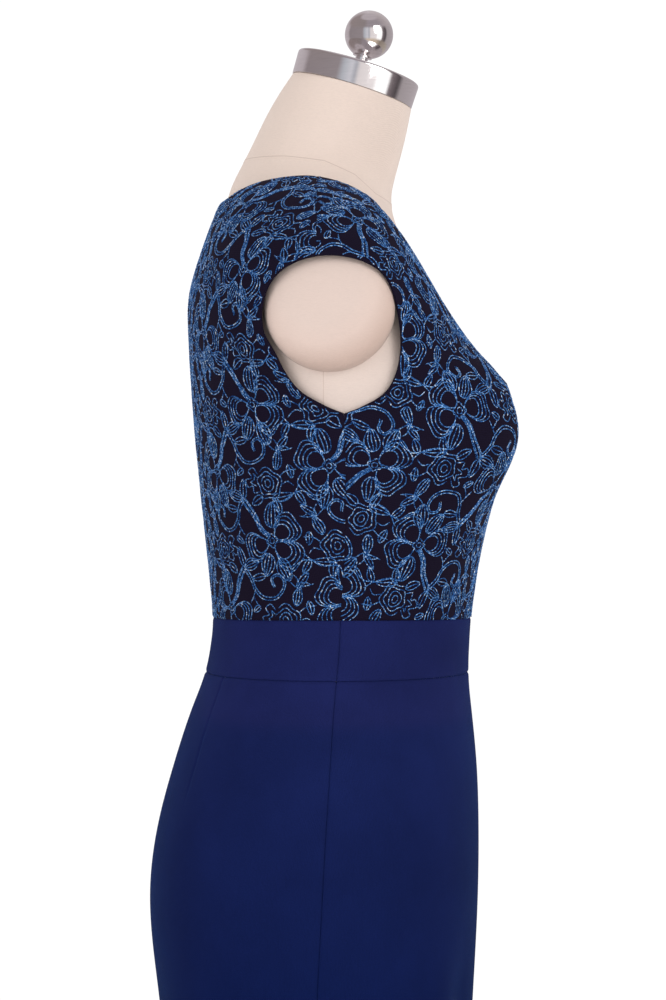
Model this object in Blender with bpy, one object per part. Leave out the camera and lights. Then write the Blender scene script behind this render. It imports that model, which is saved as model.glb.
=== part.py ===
"""A knee-length cocktail dress, worn by a limbless dress form on a plain stand.

The dress is a fitted sheath: a bodice of embroidered lace with a V neck and small caps over
the shoulders, a shaped waistband, and a pencil skirt. Front and back are cut separately and
meet in side seams and shoulder seams.

Frame: metres, +Z up, the floor at Z = 0, the pole on the Z axis, the front of the dress
facing -Y, the wearer's left at +X. The tables below are in millimetres.

One half of the dress (+X) is a single smooth strip. It starts at the front hem, runs up the
front, over the shoulder and down the back. Each of its rows goes from the inner line (centre
front, neckline, centre back) to the outer line (side seam, armhole). The seams cut the strip
into panels, and each panel is mirrored to the other half.
"""

import math
from collections import namedtuple

import bmesh
import bpy
import numpy as np
from mathutils import Matrix, Vector

MM = 0.001

# ---------------------------------------------------------------- driving sizes, in mm
CLOTH = 2.0  # lace with its backing, or the double knit of the skirt
SEAM_GAP = 0.3  # air between two sewn pieces
FORM_EASE = 1.2  # air between the cloth and the form under it

# Rows round the body, hem to underarm. A front row runs from (0, front_y, front_z) to the
# side seam at (half_width, side_y, side_z), and a back row from (0, back_y, back_z).
# The fullness is 0.55 for an ellipse, and more for squarer corners.
Ring = namedtuple(
    "Ring", "side_z half_width side_y front_z front_y back_z back_y front_full back_full"
)
RINGS = [
    Ring(415.0, 158.0, 3.0, 415.0, -105.0, 415.0, 109.5, 0.60, 0.60),  # hem
    Ring(600.0, 163.0, 3.0, 600.0, -111.5, 600.0, 115.5, 0.60, 0.60),
    Ring(776.0, 169.0, 1.0, 776.0, -118.5, 776.0, 121.2, 0.60, 0.60),
    Ring(858.0, 171.5, -3.0, 858.0, -122.6, 858.0, 128.8, 0.59, 0.60),  # hips
    Ring(914.0, 168.0, -6.0, 914.0, -123.2, 914.0, 122.3, 0.58, 0.60),
    Ring(960.0, 159.5, -9.0, 960.0, -121.6, 960.0, 110.0, 0.58, 0.59),
    Ring(1006.0, 144.5, -12.0, 1006.0, -117.2, 1006.0, 94.6, 0.57, 0.58),
    Ring(1028.5, 135.0, -14.0, 1028.5, -115.5, 1028.5, 86.4, 0.57, 0.57),  # waistband, below
    Ring(1050.0, 126.5, -16.0, 1050.0, -116.2, 1050.0, 82.3, 0.57, 0.57),
    Ring(1072.0, 123.0, -17.0, 1070.0, -117.5, 1070.0, 80.8, 0.58, 0.58),  # waist seam
    Ring(1105.0, 127.0, -19.0, 1110.0, -123.0, 1117.0, 84.8, 0.64, 0.60),
    Ring(1145.0, 135.0, -20.5, 1158.0, -133.3, 1175.0, 90.9, 0.72, 0.62),
    Ring(1185.0, 144.0, -20.5, 1205.0, -142.0, 1230.0, 95.9, 0.78, 0.64),
    Ring(1222.0, 150.0, -19.4, 1250.0, -141.8, 1280.0, 98.9, 0.74, 0.66),  # underarm
]
HEM, WAISTBAND_BELOW, WAIST, UNDERARM = 415.0, 1028.5, 1072.0, 1222.0

# Rows above the underarm. The station is the length along the strip. A row leaves the inner
# line towards its corner, and reaches the armhole edge from that corner.
Yoke = namedtuple("Yoke", "station inner corner outer full")
YOKE_FRONT = [
    Yoke(1265.0, (31.0, -114.0, 1281.5), (140.0, -121.0, 1264.0), (153.5, -49.2, 1236.6), 0.66),
    Yoke(1310.0, (53.0, -82.8, 1325.5), (137.0, -104.0, 1299.0), (157.0, -60.8, 1270.4), 0.60),
    Yoke(1348.0, (68.0, -59.0, 1361.8), (134.0, -79.0, 1341.0), (162.0, -57.4, 1301.8), 0.58),
    Yoke(1380.0, (77.5, -37.5, 1386.5), (142.0, -49.0, 1366.0), (171.0, -45.0, 1325.0), 0.58),
]
SHOULDER = Yoke(1422.0, (82.0, 1.0, 1400.7), (150.0, -1.0, 1381.0), (179.0, 1.0, 1334.5), 0.58)
YOKE_BACK = [
    Yoke(1398.0, (78.5, 20.0, 1401.0), (149.0, 30.0, 1372.0), (176.5, 25.4, 1324.8), 0.58),
    Yoke(1366.0, (56.0, 51.0, 1396.5), (144.0, 65.5, 1359.0), (169.0, 39.3, 1303.0), 0.58),
    Yoke(1343.0, (30.0, 68.3, 1389.5), (142.0, 86.0, 1343.0), (165.0, 40.4, 1288.0), 0.58),
    Yoke(1326.0, (10.0, 74.7, 1386.9), (143.0, 96.7, 1331.3), (162.2, 37.3, 1275.4), 0.59),
    Yoke(1318.0, (0.0, 75.3, 1386.6), (144.0, 100.0, 1325.0), (161.0, 33.6, 1269.3), 0.60),
    Yoke(1278.0, (0.0, 94.4, 1335.0), (149.0, 103.5, 1290.0), (157.0, 23.2, 1251.5), 0.62),
    Yoke(1250.0, (0.0, 99.3, 1308.0), (150.9, 101.4, 1287.2), (153.8, 7.3, 1233.2), 0.643),
]
BACK_NECK = 1318.0  # station where the back neckline crosses the centre back
EDGE_BLEND = 30.0  # length over which a row learns to lean with a neckline or an armhole
NECK_BLEND = 75.0  # length over which the rows under the back neckline become level

# The cups, as one soft bulge each side, and how far the bulge spreads.
CUP_APEX_X, CUP_APEX_Z, CUP_DEPTH = 86.0, 1208.0, 14.6
CUP_SPREAD_X, CUP_SPREAD_Z = 42.0, 44.0
FORM_CUP_SHARE = 0.93  # the form's cups are a little shallower

# Soft folds where the skirt hangs clear of the form. "around" is 0 at the centre front, 1 and
# -1 at the left and right side seam, and 2 at the centre back. A fold starts at top_z and is
# fully out at full_z. A negative depth is a trough.
Fold = namedtuple("Fold", "around spread top_z full_z depth")
FOLDS = [
    Fold(-0.30, 0.10, 862.0, 760.0, -5.0),
    Fold(-0.47, 0.10, 850.0, 740.0, 3.0),
    Fold(-0.72, 0.11, 800.0, 560.0, -2.5),
    Fold(0.34, 0.11, 856.0, 740.0, -4.5),
    Fold(0.55, 0.12, 840.0, 640.0, 2.5),
    Fold(0.82, 0.10, 760.0, 520.0, -2.0),
    Fold(1.35, 0.12, 800.0, 600.0, -3.0),
    Fold(1.62, 0.12, 780.0, 560.0, 2.5),
    Fold(-1.40, 0.12, 790.0, 600.0, -3.0),
    Fold(-1.70, 0.13, 770.0, 560.0, 2.0),
]

PROBE, PROBE_SHARE = 0.5, 0.002  # small steps along and across a panel, to find its normals
ON_CENTRE = 0.001  # a point this close to the centre line belongs to both halves

# How finely the panels are cut into faces.
COLUMNS = 12  # from the inner line to the outer line
SKIRT_ROWS, BAND_ROWS, SIDE_ROWS, ARMHOLE_ROWS = 16, 3, 7, 9

# The form above the underarm: the front and back points of each row lie on the centre lines.
FormRow = namedtuple("FormRow", "side front_y front_z back_y back_z front_full back_full")
FORM_ROWS = [
    FormRow((154.5, -18.5, 1254.0), -120.0, 1268.0, 95.0, 1296.0, 0.685, 0.68),
    FormRow((159.0, -16.0, 1288.0), -98.0, 1297.0, 91.0, 1326.0, 0.68, 0.68),
    FormRow((158.0, -11.0, 1320.0), -79.5, 1322.0, 85.6, 1349.0, 0.66, 0.64),
    FormRow((148.0, -5.0, 1344.5), -68.0, 1347.0, 81.5, 1363.0, 0.58, 0.57),
    FormRow((133.5, -1.0, 1366.0), -61.5, 1366.0, 77.0, 1373.0, 0.53, 0.52),
    FormRow((111.5, 0.0, 1382.0), -57.6, 1379.0, 73.5, 1381.0, 0.495, 0.49),
    FormRow((86.0, 1.0, 1392.2), -56.5, 1387.5, 69.8, 1390.0, 0.485, 0.465),
    FormRow((63.0, 1.0, 1409.5), -56.8, 1397.0, 65.6, 1402.5, 0.54, 0.50),  # neck base
    FormRow((54.5, -5.0, 1431.0), -60.3, 1412.0, 54.0, 1425.5, 0.55, 0.55),
    FormRow((50.0, -15.5, 1452.0), -66.8, 1437.0, 37.5, 1459.0, 0.55, 0.55),
    FormRow((47.5, -28.0, 1480.0), -73.5, 1471.0, 13.5, 1496.0, 0.55, 0.55),
]
FORM_BOTTOM, FORM_EDGE_RADIUS, FORM_EDGE_STEPS = 822.0, 16.0, 4
FORM_RISE = [845.0, 858.0, 886.0, 914.0, 940.0, 965.0, 988.0, 1010.0, 1030.0, 1050.0, 1070.0,
             1090.0, 1110.0, 1130.0, 1150.0, 1170.0, 1188.0, 1205.0, 1222.0]  # row heights
FORM_UPPER_ROWS = 17

# The neck is cut off square under a turned cap, which leans forward with it.
NECK_LEAN = 17.0  # degrees
NECK_TOP = (0.0, -25.8, 1474.0)
CAP_RADIUS, CAP_HEIGHT, CAP_EDGE = 48.3, 19.5, 2.5
CAP_TAPER, CAP_EDGE_STEPS = 0.6, 3
BALL_RADIUS, BALL_RISE, BALL_STEPS = 18.6, 26.3, 14
STEM_RADIUS, STEM_FOOT_RADIUS, STEM_FOOT = 4.9, 7.0, 3.0
RING_RADIUS, RING_HEIGHT = 7.5, 1.0  # the ring under the ball

# The arm stubs: each is a short boss in a socket of the torso, with a domed end.
STUB_Y, STUB_Z, STUB_RADIUS = -9.0, 1300.0, 47.8
STUB_ROOT, STUB_RIM, STUB_DOME = 118.0, 152.5, 22.0  # distances from the middle, dome's rise
STUB_FLATNESS = 0.78  # power of the dome's cosine and sine: 1 is an ellipse, less is flatter
STUB_SIDES, STUB_STEPS = 36, 9
SOCKET_REACH = 60.0  # length of the cutter that makes an arm stub's socket

# The stand.
POLE_RADIUS, BASE_RADIUS, BASE_HEIGHT, BASE_EDGE = 12.5, 165.0, 10.0, 3.0
COLLAR_RADIUS, COLLAR_HEIGHT = 21.0, 34.0
FLANGE_RADIUS, FLANGE_HEIGHT, FLANGE_SLEEVE, FLANGE_DROP = 45.0, 5.0, 18.0, 40.0
TURN_SIDES = 32

PALETTE = {
    "lace": ((0.010, 0.030, 0.110), 0.75, 0.0),
    "navy_knit": ((0.010, 0.015, 0.085), 0.70, 0.0),
    "form_cloth": ((0.78, 0.62, 0.54), 0.85, 0.0),
    "polished_steel": ((0.62, 0.60, 0.60), 0.15, 1.0),
    "brushed_steel": ((0.55, 0.55, 0.56), 0.35, 1.0),
}


# ---------------------------------------------------------------- curves
def smooth(value, start, end):
    """0 before start, 1 after end, and an S-curve between them."""
    share = np.clip((value - start) / (end - start), 0.0, 1.0)
    return share * share * (3.0 - 2.0 * share)


def spline(knots, values, at):
    """The natural cubic spline through values at the knots, read at the given places."""
    knots = np.asarray(knots, float)
    values = np.asarray(values, float).reshape(len(knots), -1)
    step = np.diff(knots)
    slope = np.diff(values, axis=0) / step[:, None]
    system = np.eye(len(knots))
    change = np.zeros_like(values)
    for i in range(1, len(knots) - 1):
        system[i, i - 1:i + 2] = step[i - 1], 2.0 * (step[i - 1] + step[i]), step[i]
        change[i] = 6.0 * (slope[i] - slope[i - 1])
    bend = np.linalg.solve(system, change)
    i = np.clip(np.searchsorted(knots, at, side="right") - 1, 0, len(knots) - 2)
    h = step[i][:, None]
    a = (knots[i + 1] - at)[:, None]
    b = (at - knots[i])[:, None]
    return (
        (bend[i] * a**3 + bend[i + 1] * b**3) / (6.0 * h)
        + (values[i] / h - bend[i] * h / 6.0) * a
        + (values[i + 1] / h - bend[i + 1] * h / 6.0) * b
    )


def spline_in_pieces(knots, values, corners, at):
    """A spline that may turn sharply at the knots numbered in corners."""
    ends = [0, *corners, len(knots) - 1]
    values = np.asarray(values, float)
    found = np.zeros((len(at), values.shape[1]))
    for first, last in zip(ends, ends[1:]):
        here = (at >= knots[first]) & (at <= knots[last])
        found[here] = spline(knots[first:last + 1], values[first:last + 1], at[here])
    return found


# ---------------------------------------------------------------- the dress as one strip
def strip_rows():
    """Every row of the strip in order: front hem to shoulder, then shoulder to back hem."""
    front = [
        (r.side_z, (0.0, r.front_y, r.front_z), (r.half_width, r.front_y, r.front_z),
         (r.half_width, r.side_y, r.side_z), r.front_full)
        for r in RINGS
    ]
    back = [
        (r.side_z, (0.0, r.back_y, r.back_z), (r.half_width, r.back_y, r.back_z),
         (r.half_width, r.side_y, r.side_z), r.back_full)
        for r in RINGS
    ]
    over = 2.0 * SHOULDER.station
    down = [(over - y.station, *y[1:]) for y in YOKE_BACK]
    down += [(over - row[0], *row[1:]) for row in reversed(back)]
    return front + [tuple(y) for y in YOKE_FRONT] + [tuple(SHOULDER)] + down


STRIP = strip_rows()
KNOTS = [row[0] for row in STRIP]
INNER, CORNER, OUTER = ([row[k] for row in STRIP] for k in (1, 2, 3))
FULLNESS = [[row[4]] for row in STRIP]
BACK_OF = 2.0 * SHOULDER.station  # a back row's place on the strip is BACK_OF - station


def dress_point(place, across, side):
    """Points on the outside of the dress, for each place along the strip and share across it.

    A row is a cubic Bezier curve whose inner handles point at the row's corner. side is 1 for
    the wearer's left half and -1 for the right half.
    """
    inner = spline_in_pieces(
        KNOTS, INNER, [KNOTS.index(UNDERARM), KNOTS.index(BACK_OF - BACK_NECK)], place
    )
    outer = spline_in_pieces(
        KNOTS, OUTER, [KNOTS.index(UNDERARM), KNOTS.index(BACK_OF - UNDERARM)], place
    )
    corner = spline(KNOTS, CORNER, place)
    full = spline(KNOTS, FULLNESS, place)
    neck_end, arm_end = BACK_OF - BACK_NECK, BACK_OF - UNDERARM
    on_neck = smooth(place, UNDERARM, UNDERARM + EDGE_BLEND)
    on_neck *= 1.0 - smooth(place, neck_end, neck_end + NECK_BLEND)
    on_arm = smooth(place, UNDERARM, UNDERARM + EDGE_BLEND)
    on_arm *= 1.0 - smooth(place, arm_end - EDGE_BLEND, arm_end)
    level, ones = np.stack([on_neck, on_arm], axis=1), np.ones(len(place))
    near = inner + full * (corner - inner) * np.stack([ones, level[:, 0], level[:, 0]], axis=1)
    far = outer + full * (corner - outer) * np.stack([level[:, 1], ones, level[:, 1]], axis=1)
    s = across[None, :, None]
    points = (
        inner[:, None] * (1.0 - s) ** 3
        + near[:, None] * 3.0 * s * (1.0 - s) ** 2
        + far[:, None] * 3.0 * s * s * (1.0 - s)
        + outer[:, None] * s**3
    )
    on_front = (place <= SHOULDER.station)[:, None]
    points[..., 1] -= cup_depth(points, across) * on_front
    around = np.where(on_front, across[None, :], 2.0 - across[None, :]) * side
    points += fold_push(points, around)
    points[..., 0] *= side
    return points


def cup_depth(points, across):
    """How far the cups push the front forward: one bell curve each side of the centre."""
    bells = sum(
        np.exp(-((points[..., 0] - apex) / CUP_SPREAD_X) ** 2)
        for apex in (CUP_APEX_X, -CUP_APEX_X)
    )
    height = np.exp(-((points[..., 2] - CUP_APEX_Z) / CUP_SPREAD_Z) ** 2)
    return CUP_DEPTH * bells * height * (1.0 - across[None, :] ** 6)


def fold_push(points, around):
    """The folds' push away from the pole, as a bell curve around each fold's line."""
    push = np.zeros(points.shape[:2])
    for fold in FOLDS:
        apart = np.abs(around - fold.around)
        apart = np.minimum(apart, 4.0 - apart)
        out = 1.0 - smooth(points[..., 2], fold.full_z, fold.top_z)
        push += fold.depth * out * np.exp(-((apart / fold.spread) ** 2))
    away = points * np.array([1.0, 1.0, 0.0])
    return away / np.linalg.norm(away, axis=2, keepdims=True) * push[..., None]


# ---------------------------------------------------------------- meshes
def material(name):
    """A Principled BSDF with the part's colour, roughness and metallic value."""
    made = bpy.data.materials.get(name)
    if made:
        return made
    colour, roughness, metallic = PALETTE[name]
    made = bpy.data.materials.new(name)
    made.use_nodes = True
    shader = made.node_tree.nodes["Principled BSDF"]
    shader.inputs["Base Color"].default_value = (*colour, 1.0)
    shader.inputs["Roughness"].default_value = roughness
    shader.inputs["Metallic"].default_value = metallic
    return made


def new_object(name, mesh_source, finish, sharp_angle=40.0):
    """One named object from a bmesh, in metres, shaded smooth where it is round."""
    mesh = bpy.data.meshes.new(name)
    bmesh.ops.scale(mesh_source, vec=(MM, MM, MM), verts=mesh_source.verts)
    mesh_source.to_mesh(mesh)
    mesh_source.free()
    mesh.shade_smooth()
    mesh.set_sharp_from_angle(angle=math.radians(sharp_angle))
    made = bpy.data.objects.new(name, mesh)
    mesh.materials.append(material(finish))
    bpy.context.scene.collection.objects.link(made)
    return made


def draw_in(grid, gap):
    """Moves a panel's sewn edges back by gap: its first and last row, and its outer edge."""
    sewn = [(np.s_[0], np.s_[1]), (np.s_[-1], np.s_[-2]), (np.s_[:, -1], np.s_[:, -2])]
    for edge, beside in sewn:
        back = grid[beside] - grid[edge]
        grid[edge] += back / np.linalg.norm(back, axis=1, keepdims=True) * gap


def outward(places, across, side):
    """Unit normals of the strip, from a small step along it and a small step across it."""
    ahead = np.minimum(places + PROBE, places[-1])
    behind = np.maximum(places - PROBE, places[0])
    along = dress_point(ahead, across, side) - dress_point(behind, across, side)
    further = np.minimum(across + PROBE_SHARE, 1.0)
    nearer = np.maximum(across - PROBE_SHARE, 0.0)
    crosswise = dress_point(places, further, side) - dress_point(places, nearer, side)
    normal = np.cross(crosswise, along) * side
    return normal / np.linalg.norm(normal, axis=2, keepdims=True)


def walled(name, outer, quads, inner, finish):
    """A closed solid between an outer skin and an inner skin with the same quads."""
    edges = {(q[i], q[(i + 1) % 4]) for q in quads for i in range(4)}
    n = len(outer)
    rim = [(b, a, a + n, b + n) for a, b in sorted(edges) if (b, a) not in edges]
    lining = [tuple(v + n for v in reversed(q)) for q in quads]
    mesh = bmesh.new()
    verts = [mesh.verts.new(point) for point in np.concatenate([outer, inner])]
    for face in quads + lining + rim:
        mesh.faces.new([verts[v] for v in face])
    return new_object(name, mesh, finish)


def cloth_panel(name, places, finish):
    """A panel of the dress between two places on the strip, with both its halves."""
    across = np.linspace(0.0, 1.0, COLUMNS + 1)
    shape = (len(places), len(across))
    ids = np.arange(2 * shape[0] * shape[1]).reshape(2, *shape)
    outer, inner, quads = [], [], []
    for half, side in enumerate((1, -1)):
        grid = dress_point(places, across, side)
        under = grid - outward(places, across, side) * CLOTH
        for skin in (grid, under):
            draw_in(skin, SEAM_GAP / 2.0)
        outer.append(grid.reshape(-1, 3))
        inner.append(under.reshape(-1, 3))
        joined = np.abs(grid[:, 0, 0]) < ON_CENTRE
        ids[1, joined, 0] = ids[0, joined, 0]
        corners = [ids[half, :-1, :-1], ids[half, :-1, 1:], ids[half, 1:, 1:], ids[half, 1:, :-1]]
        quads += [tuple(q) for q in np.stack(corners[::side], axis=-1).reshape(-1, 4).tolist()]
    used = sorted({v for q in quads for v in q})
    number = {v: i for i, v in enumerate(used)}
    quads = [tuple(number[v] for v in q) for q in quads]
    outer, inner = (np.concatenate(skin)[used] for skin in (outer, inner))
    return walled(name, outer, quads, inner, finish)


def stretch(*stops):
    """Places along the strip: stops are place, number of steps, place, number of steps, ..."""
    runs = zip(stops[::2], stops[1::2], stops[2::2])
    places = [np.linspace(start, end, steps, endpoint=False) for start, steps, end in runs]
    return np.append(np.concatenate(places), stops[-1])


def make_dress():
    """Bodice, waistband and skirt, each with a front and a back."""
    neck = BACK_NECK - UNDERARM
    low_rows = round(ARMHOLE_ROWS * neck / (SHOULDER.station - UNDERARM))
    front = {
        "skirt_front": (HEM, SKIRT_ROWS, WAISTBAND_BELOW),
        "waistband_front": (WAISTBAND_BELOW, BAND_ROWS, WAIST),
        "bodice_front": (WAIST, SIDE_ROWS, UNDERARM, ARMHOLE_ROWS, SHOULDER.station),
    }
    back = {
        "skirt_back": (HEM, SKIRT_ROWS, WAISTBAND_BELOW),
        "waistband_back": (WAISTBAND_BELOW, BAND_ROWS, WAIST),
        "bodice_back": (
            WAIST, SIDE_ROWS, UNDERARM, low_rows,
            BACK_NECK, ARMHOLE_ROWS + 1 - low_rows, SHOULDER.station,
        ),
    }
    for name, stops in front.items():
        cloth_panel(name, stretch(*stops), "lace" if "bodice" in name else "navy_knit")
    for name, stops in back.items():
        places = BACK_OF - stretch(*stops)[::-1]
        cloth_panel(name, places, "lace" if "bodice" in name else "navy_knit")


# ---------------------------------------------------------------- the dress form
def form_lines():
    """The form's rows: the dress's rings taken in by cloth and ease, then its own rows."""
    take_in = CLOTH + FORM_EASE
    rows = []
    rings = [[r.side_z, *r[1:]] for r in RINGS]
    for z in FORM_RISE:
        w, side_y, front_z, front_y, back_z, back_y, front_full, back_full = spline(
            [r[0] for r in rings], [r[1:] for r in rings], np.array([z])
        )[0]
        rows.append(
            FormRow(
                (w - take_in, side_y, z), front_y + take_in, front_z,
                back_y - take_in, back_z, front_full, back_full,
            )
        )
    return rows, FORM_ROWS


def form_ring(row):
    """A closed ring of points: left front quarter, left back, right back, right front."""
    s = np.linspace(0.0, 1.0, COLUMNS + 1)[:, None]
    side = np.array(row.side)
    quarters = []
    for y, z, full in (
        (row.front_y, row.front_z, row.front_full), (row.back_y, row.back_z, row.back_full)
    ):
        centre = np.array([0.0, y, z])
        near = centre + np.array([full * side[0], 0.0, 0.0])
        far = side + np.array([0.0, full * (y - side[1]), 0.0])
        quarter = (
            centre * (1 - s) ** 3 + near * 3 * s * (1 - s) ** 2
            + far * 3 * s * s * (1 - s) + side * s**3
        )
        quarters.append(quarter)
    front, back = quarters
    front[:, 1] -= cup_depth(front[None], s[:, 0])[0] * FORM_CUP_SHARE
    mirror = np.array([-1.0, 1.0, 1.0])
    return np.concatenate([front[:-1], back[:0:-1], back[:-1] * mirror, front[:0:-1] * mirror])


def all_form_rings():
    """Rings from the rounded bottom edge to just past the top of the neck."""
    lower, upper = form_lines()
    known = [lower[-1], *upper]
    flat = np.array([[*r.side, r.front_y, r.front_z, r.back_y, r.back_z, *r[5:]] for r in known])
    travel = np.linalg.norm(np.diff(flat[:, :7], axis=0), axis=1) / math.sqrt(3.0)
    knots = np.concatenate([[0.0], np.cumsum(travel)])
    at = np.linspace(0.0, knots[-1], FORM_UPPER_ROWS + 1)[1:]
    raised = [
        FormRow(tuple(v[:3]), v[3], v[4], v[5], v[6], v[7], v[8]) for v in spline(knots, flat, at)
    ]
    rings = []
    foot = form_ring(lower[0])
    hub = np.array([0.0, foot[:, 1].mean(), 0.0])
    for step in range(FORM_EDGE_STEPS):
        angle = math.pi / 2.0 * (1.0 - step / FORM_EDGE_STEPS)
        inwards = (foot - hub) * np.array([1.0, 1.0, 0.0])
        inwards /= np.linalg.norm(inwards, axis=1, keepdims=True)
        ring = foot - inwards * FORM_EDGE_RADIUS * (1.0 - math.cos(angle))
        ring[:, 2] = FORM_BOTTOM + FORM_EDGE_RADIUS * (1.0 - math.sin(angle))
        rings.append(ring)
    return rings + [form_ring(r) for r in lower + raised]


def make_torso():
    """Hips to neck as one closed body, with a socket for each arm stub."""
    mesh = bmesh.new()
    rings = [[mesh.verts.new(point) for point in ring] for ring in all_form_rings()]
    for low, high in zip(rings, rings[1:]):
        for i in range(len(low)):
            j = (i + 1) % len(low)
            mesh.faces.new((low[i], low[j], high[j], high[i]))
    mesh.faces.new(rings[0][::-1])
    mesh.faces.new(rings[-1])
    lean = math.radians(NECK_LEAN)
    up = Vector((0.0, -math.sin(lean), math.cos(lean)))
    parts = mesh.verts[:] + mesh.edges[:] + mesh.faces[:]
    cut = bmesh.ops.bisect_plane(
        mesh, geom=parts, plane_co=NECK_TOP, plane_no=up, clear_outer=True
    )
    rim = [e for e in cut["geom_cut"] if isinstance(e, bmesh.types.BMEdge)]
    bmesh.ops.contextual_create(mesh, geom=rim)
    bmesh.ops.recalc_face_normals(mesh, faces=mesh.faces)
    torso = new_object("form_torso", mesh, "form_cloth")
    for side in (1, -1):
        radius = STUB_RADIUS + SEAM_GAP
        socket = turned(
            f"socket_cutter_{side}",
            [(0.0, 0.0), (radius, 0.0), (radius, SOCKET_REACH), (0.0, SOCKET_REACH)],
            "form_cloth", STUB_SIDES, stub_frame(side, STUB_ROOT - SEAM_GAP),
        )
        socket.hide_render = True
        socket.display_type = "WIRE"
        hole = torso.modifiers.new(f"arm socket {side}", "BOOLEAN")
        hole.operation = "DIFFERENCE"
        hole.object = socket
    return torso


def stub_frame(side, out):
    """The matrix that turns +Z to the arm's axis and puts the origin at x = out."""
    place = Matrix.Translation(Vector((side * out, STUB_Y, STUB_Z)) * MM)
    return place @ Matrix.Rotation(side * math.pi / 2.0, 4, "Y")


def turned(name, profile, finish, sides, frame=None, sharp_angle=40.0):
    """A turned solid. The profile is (radius, height) pairs from the axis back to the axis."""
    mesh = bmesh.new()
    points = [mesh.verts.new((radius, 0.0, height)) for radius, height in profile]
    line = [mesh.edges.new(pair) for pair in zip(points, points[1:])]
    bmesh.ops.spin(
        mesh, geom=points + line, axis=(0.0, 0.0, 1.0), cent=(0.0, 0.0, 0.0),
        steps=sides, angle=2.0 * math.pi, use_merge=True,
    )
    bmesh.ops.remove_doubles(mesh, verts=mesh.verts, dist=0.001)
    bmesh.ops.recalc_face_normals(mesh, faces=mesh.faces)
    made = new_object(name, mesh, finish, sharp_angle)
    if frame is not None:
        made.matrix_world = frame
    return made


def arc(centre_radius, centre_height, radius, start, end, steps):
    """Points on a circle in the profile plane. Angles are in degrees from the radius axis."""
    angles = [math.radians(start + (end - start) * i / steps) for i in range(steps + 1)]
    return [
        (centre_radius + radius * math.cos(a), centre_height + radius * math.sin(a))
        for a in angles
    ]


def make_arm_stubs():
    """The domed ends that fill the armholes."""
    angles = [math.radians(90.0 * step / STUB_STEPS) for step in range(STUB_STEPS + 1)]
    dome = [
        (STUB_RADIUS * math.cos(a) ** STUB_FLATNESS,
         STUB_RIM - STUB_ROOT + STUB_DOME * math.sin(a) ** STUB_FLATNESS)
        for a in angles[:-1]
    ]
    dome.append((0.0, STUB_RIM - STUB_ROOT + STUB_DOME))
    for side, hand in ((1, "left"), (-1, "right")):
        turned(
            f"form_arm_stub_{hand}", [(0.0, 0.0), (STUB_RADIUS, 0.0), *dome],
            "form_cloth", STUB_SIDES, stub_frame(side, STUB_ROOT),
        )


def make_neck_cap():
    """The turned steel cap on the neck, and the ball that screws into it."""
    lean = Matrix.Rotation(math.radians(NECK_LEAN), 4, "X")
    seat = Matrix.Translation(Vector(NECK_TOP) * MM) @ lean
    top = CAP_HEIGHT - CAP_EDGE
    rim = arc(CAP_RADIUS - CAP_EDGE, top, CAP_EDGE, 0.0, 90.0, CAP_EDGE_STEPS)
    turned(
        "form_neck_cap",
        [(0.0, SEAM_GAP), (CAP_RADIUS - CAP_TAPER, SEAM_GAP), *rim, (0.0, CAP_HEIGHT)],
        "polished_steel", TURN_SIDES, seat,
    )
    foot = CAP_HEIGHT + SEAM_GAP
    centre = CAP_HEIGHT + BALL_RISE
    start = math.degrees(math.asin(RING_RADIUS / BALL_RADIUS)) - 90.0
    ball = arc(0.0, centre, BALL_RADIUS, start, 90.0, BALL_STEPS)
    ball[-1] = (0.0, centre + BALL_RADIUS)
    ring = ball[0][1] - RING_HEIGHT
    turned(
        "form_finial",
        [(0.0, foot), (STEM_FOOT_RADIUS, foot), (STEM_FOOT_RADIUS, foot + STEM_FOOT),
         (STEM_RADIUS, foot + STEM_FOOT + 1.0), (STEM_RADIUS, ring), (RING_RADIUS, ring),
         *ball],
        "polished_steel", TURN_SIDES, seat, 50.0,
    )


def make_stand():
    """A flange under the torso, a pole, and a round base plate with a collar."""
    pole_top = FORM_BOTTOM - FLANGE_HEIGHT - 2.0 * SEAM_GAP
    flange_low = FORM_BOTTOM - SEAM_GAP - FLANGE_HEIGHT
    bore = POLE_RADIUS + SEAM_GAP
    sleeve = turned_ring(
        [(bore, flange_low - FLANGE_DROP), (FLANGE_SLEEVE, flange_low - FLANGE_DROP),
         (FLANGE_SLEEVE, flange_low), (FLANGE_RADIUS, flange_low),
         (FLANGE_RADIUS, FORM_BOTTOM - SEAM_GAP), (0.0, FORM_BOTTOM - SEAM_GAP),
         (0.0, flange_low), (bore, flange_low)]
    )
    new_object("stand_flange", sleeve, "brushed_steel")
    floor = BASE_HEIGHT + SEAM_GAP
    turned(
        "stand_pole",
        [(0.0, floor), (POLE_RADIUS, floor), (POLE_RADIUS, pole_top - SEAM_GAP),
         (0.0, pole_top - SEAM_GAP)],
        "brushed_steel", TURN_SIDES,
    )
    collar_top = BASE_HEIGHT + COLLAR_HEIGHT
    base = turned_ring(
        [(0.0, 0.0), (BASE_RADIUS, 0.0), (BASE_RADIUS, BASE_HEIGHT - BASE_EDGE),
         (BASE_RADIUS - BASE_EDGE, BASE_HEIGHT), (COLLAR_RADIUS, BASE_HEIGHT),
         (COLLAR_RADIUS, collar_top), (bore, collar_top), (bore, BASE_HEIGHT),
         (0.0, BASE_HEIGHT)],
        2 * TURN_SIDES,
    )
    new_object("stand_base", base, "brushed_steel")


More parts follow.
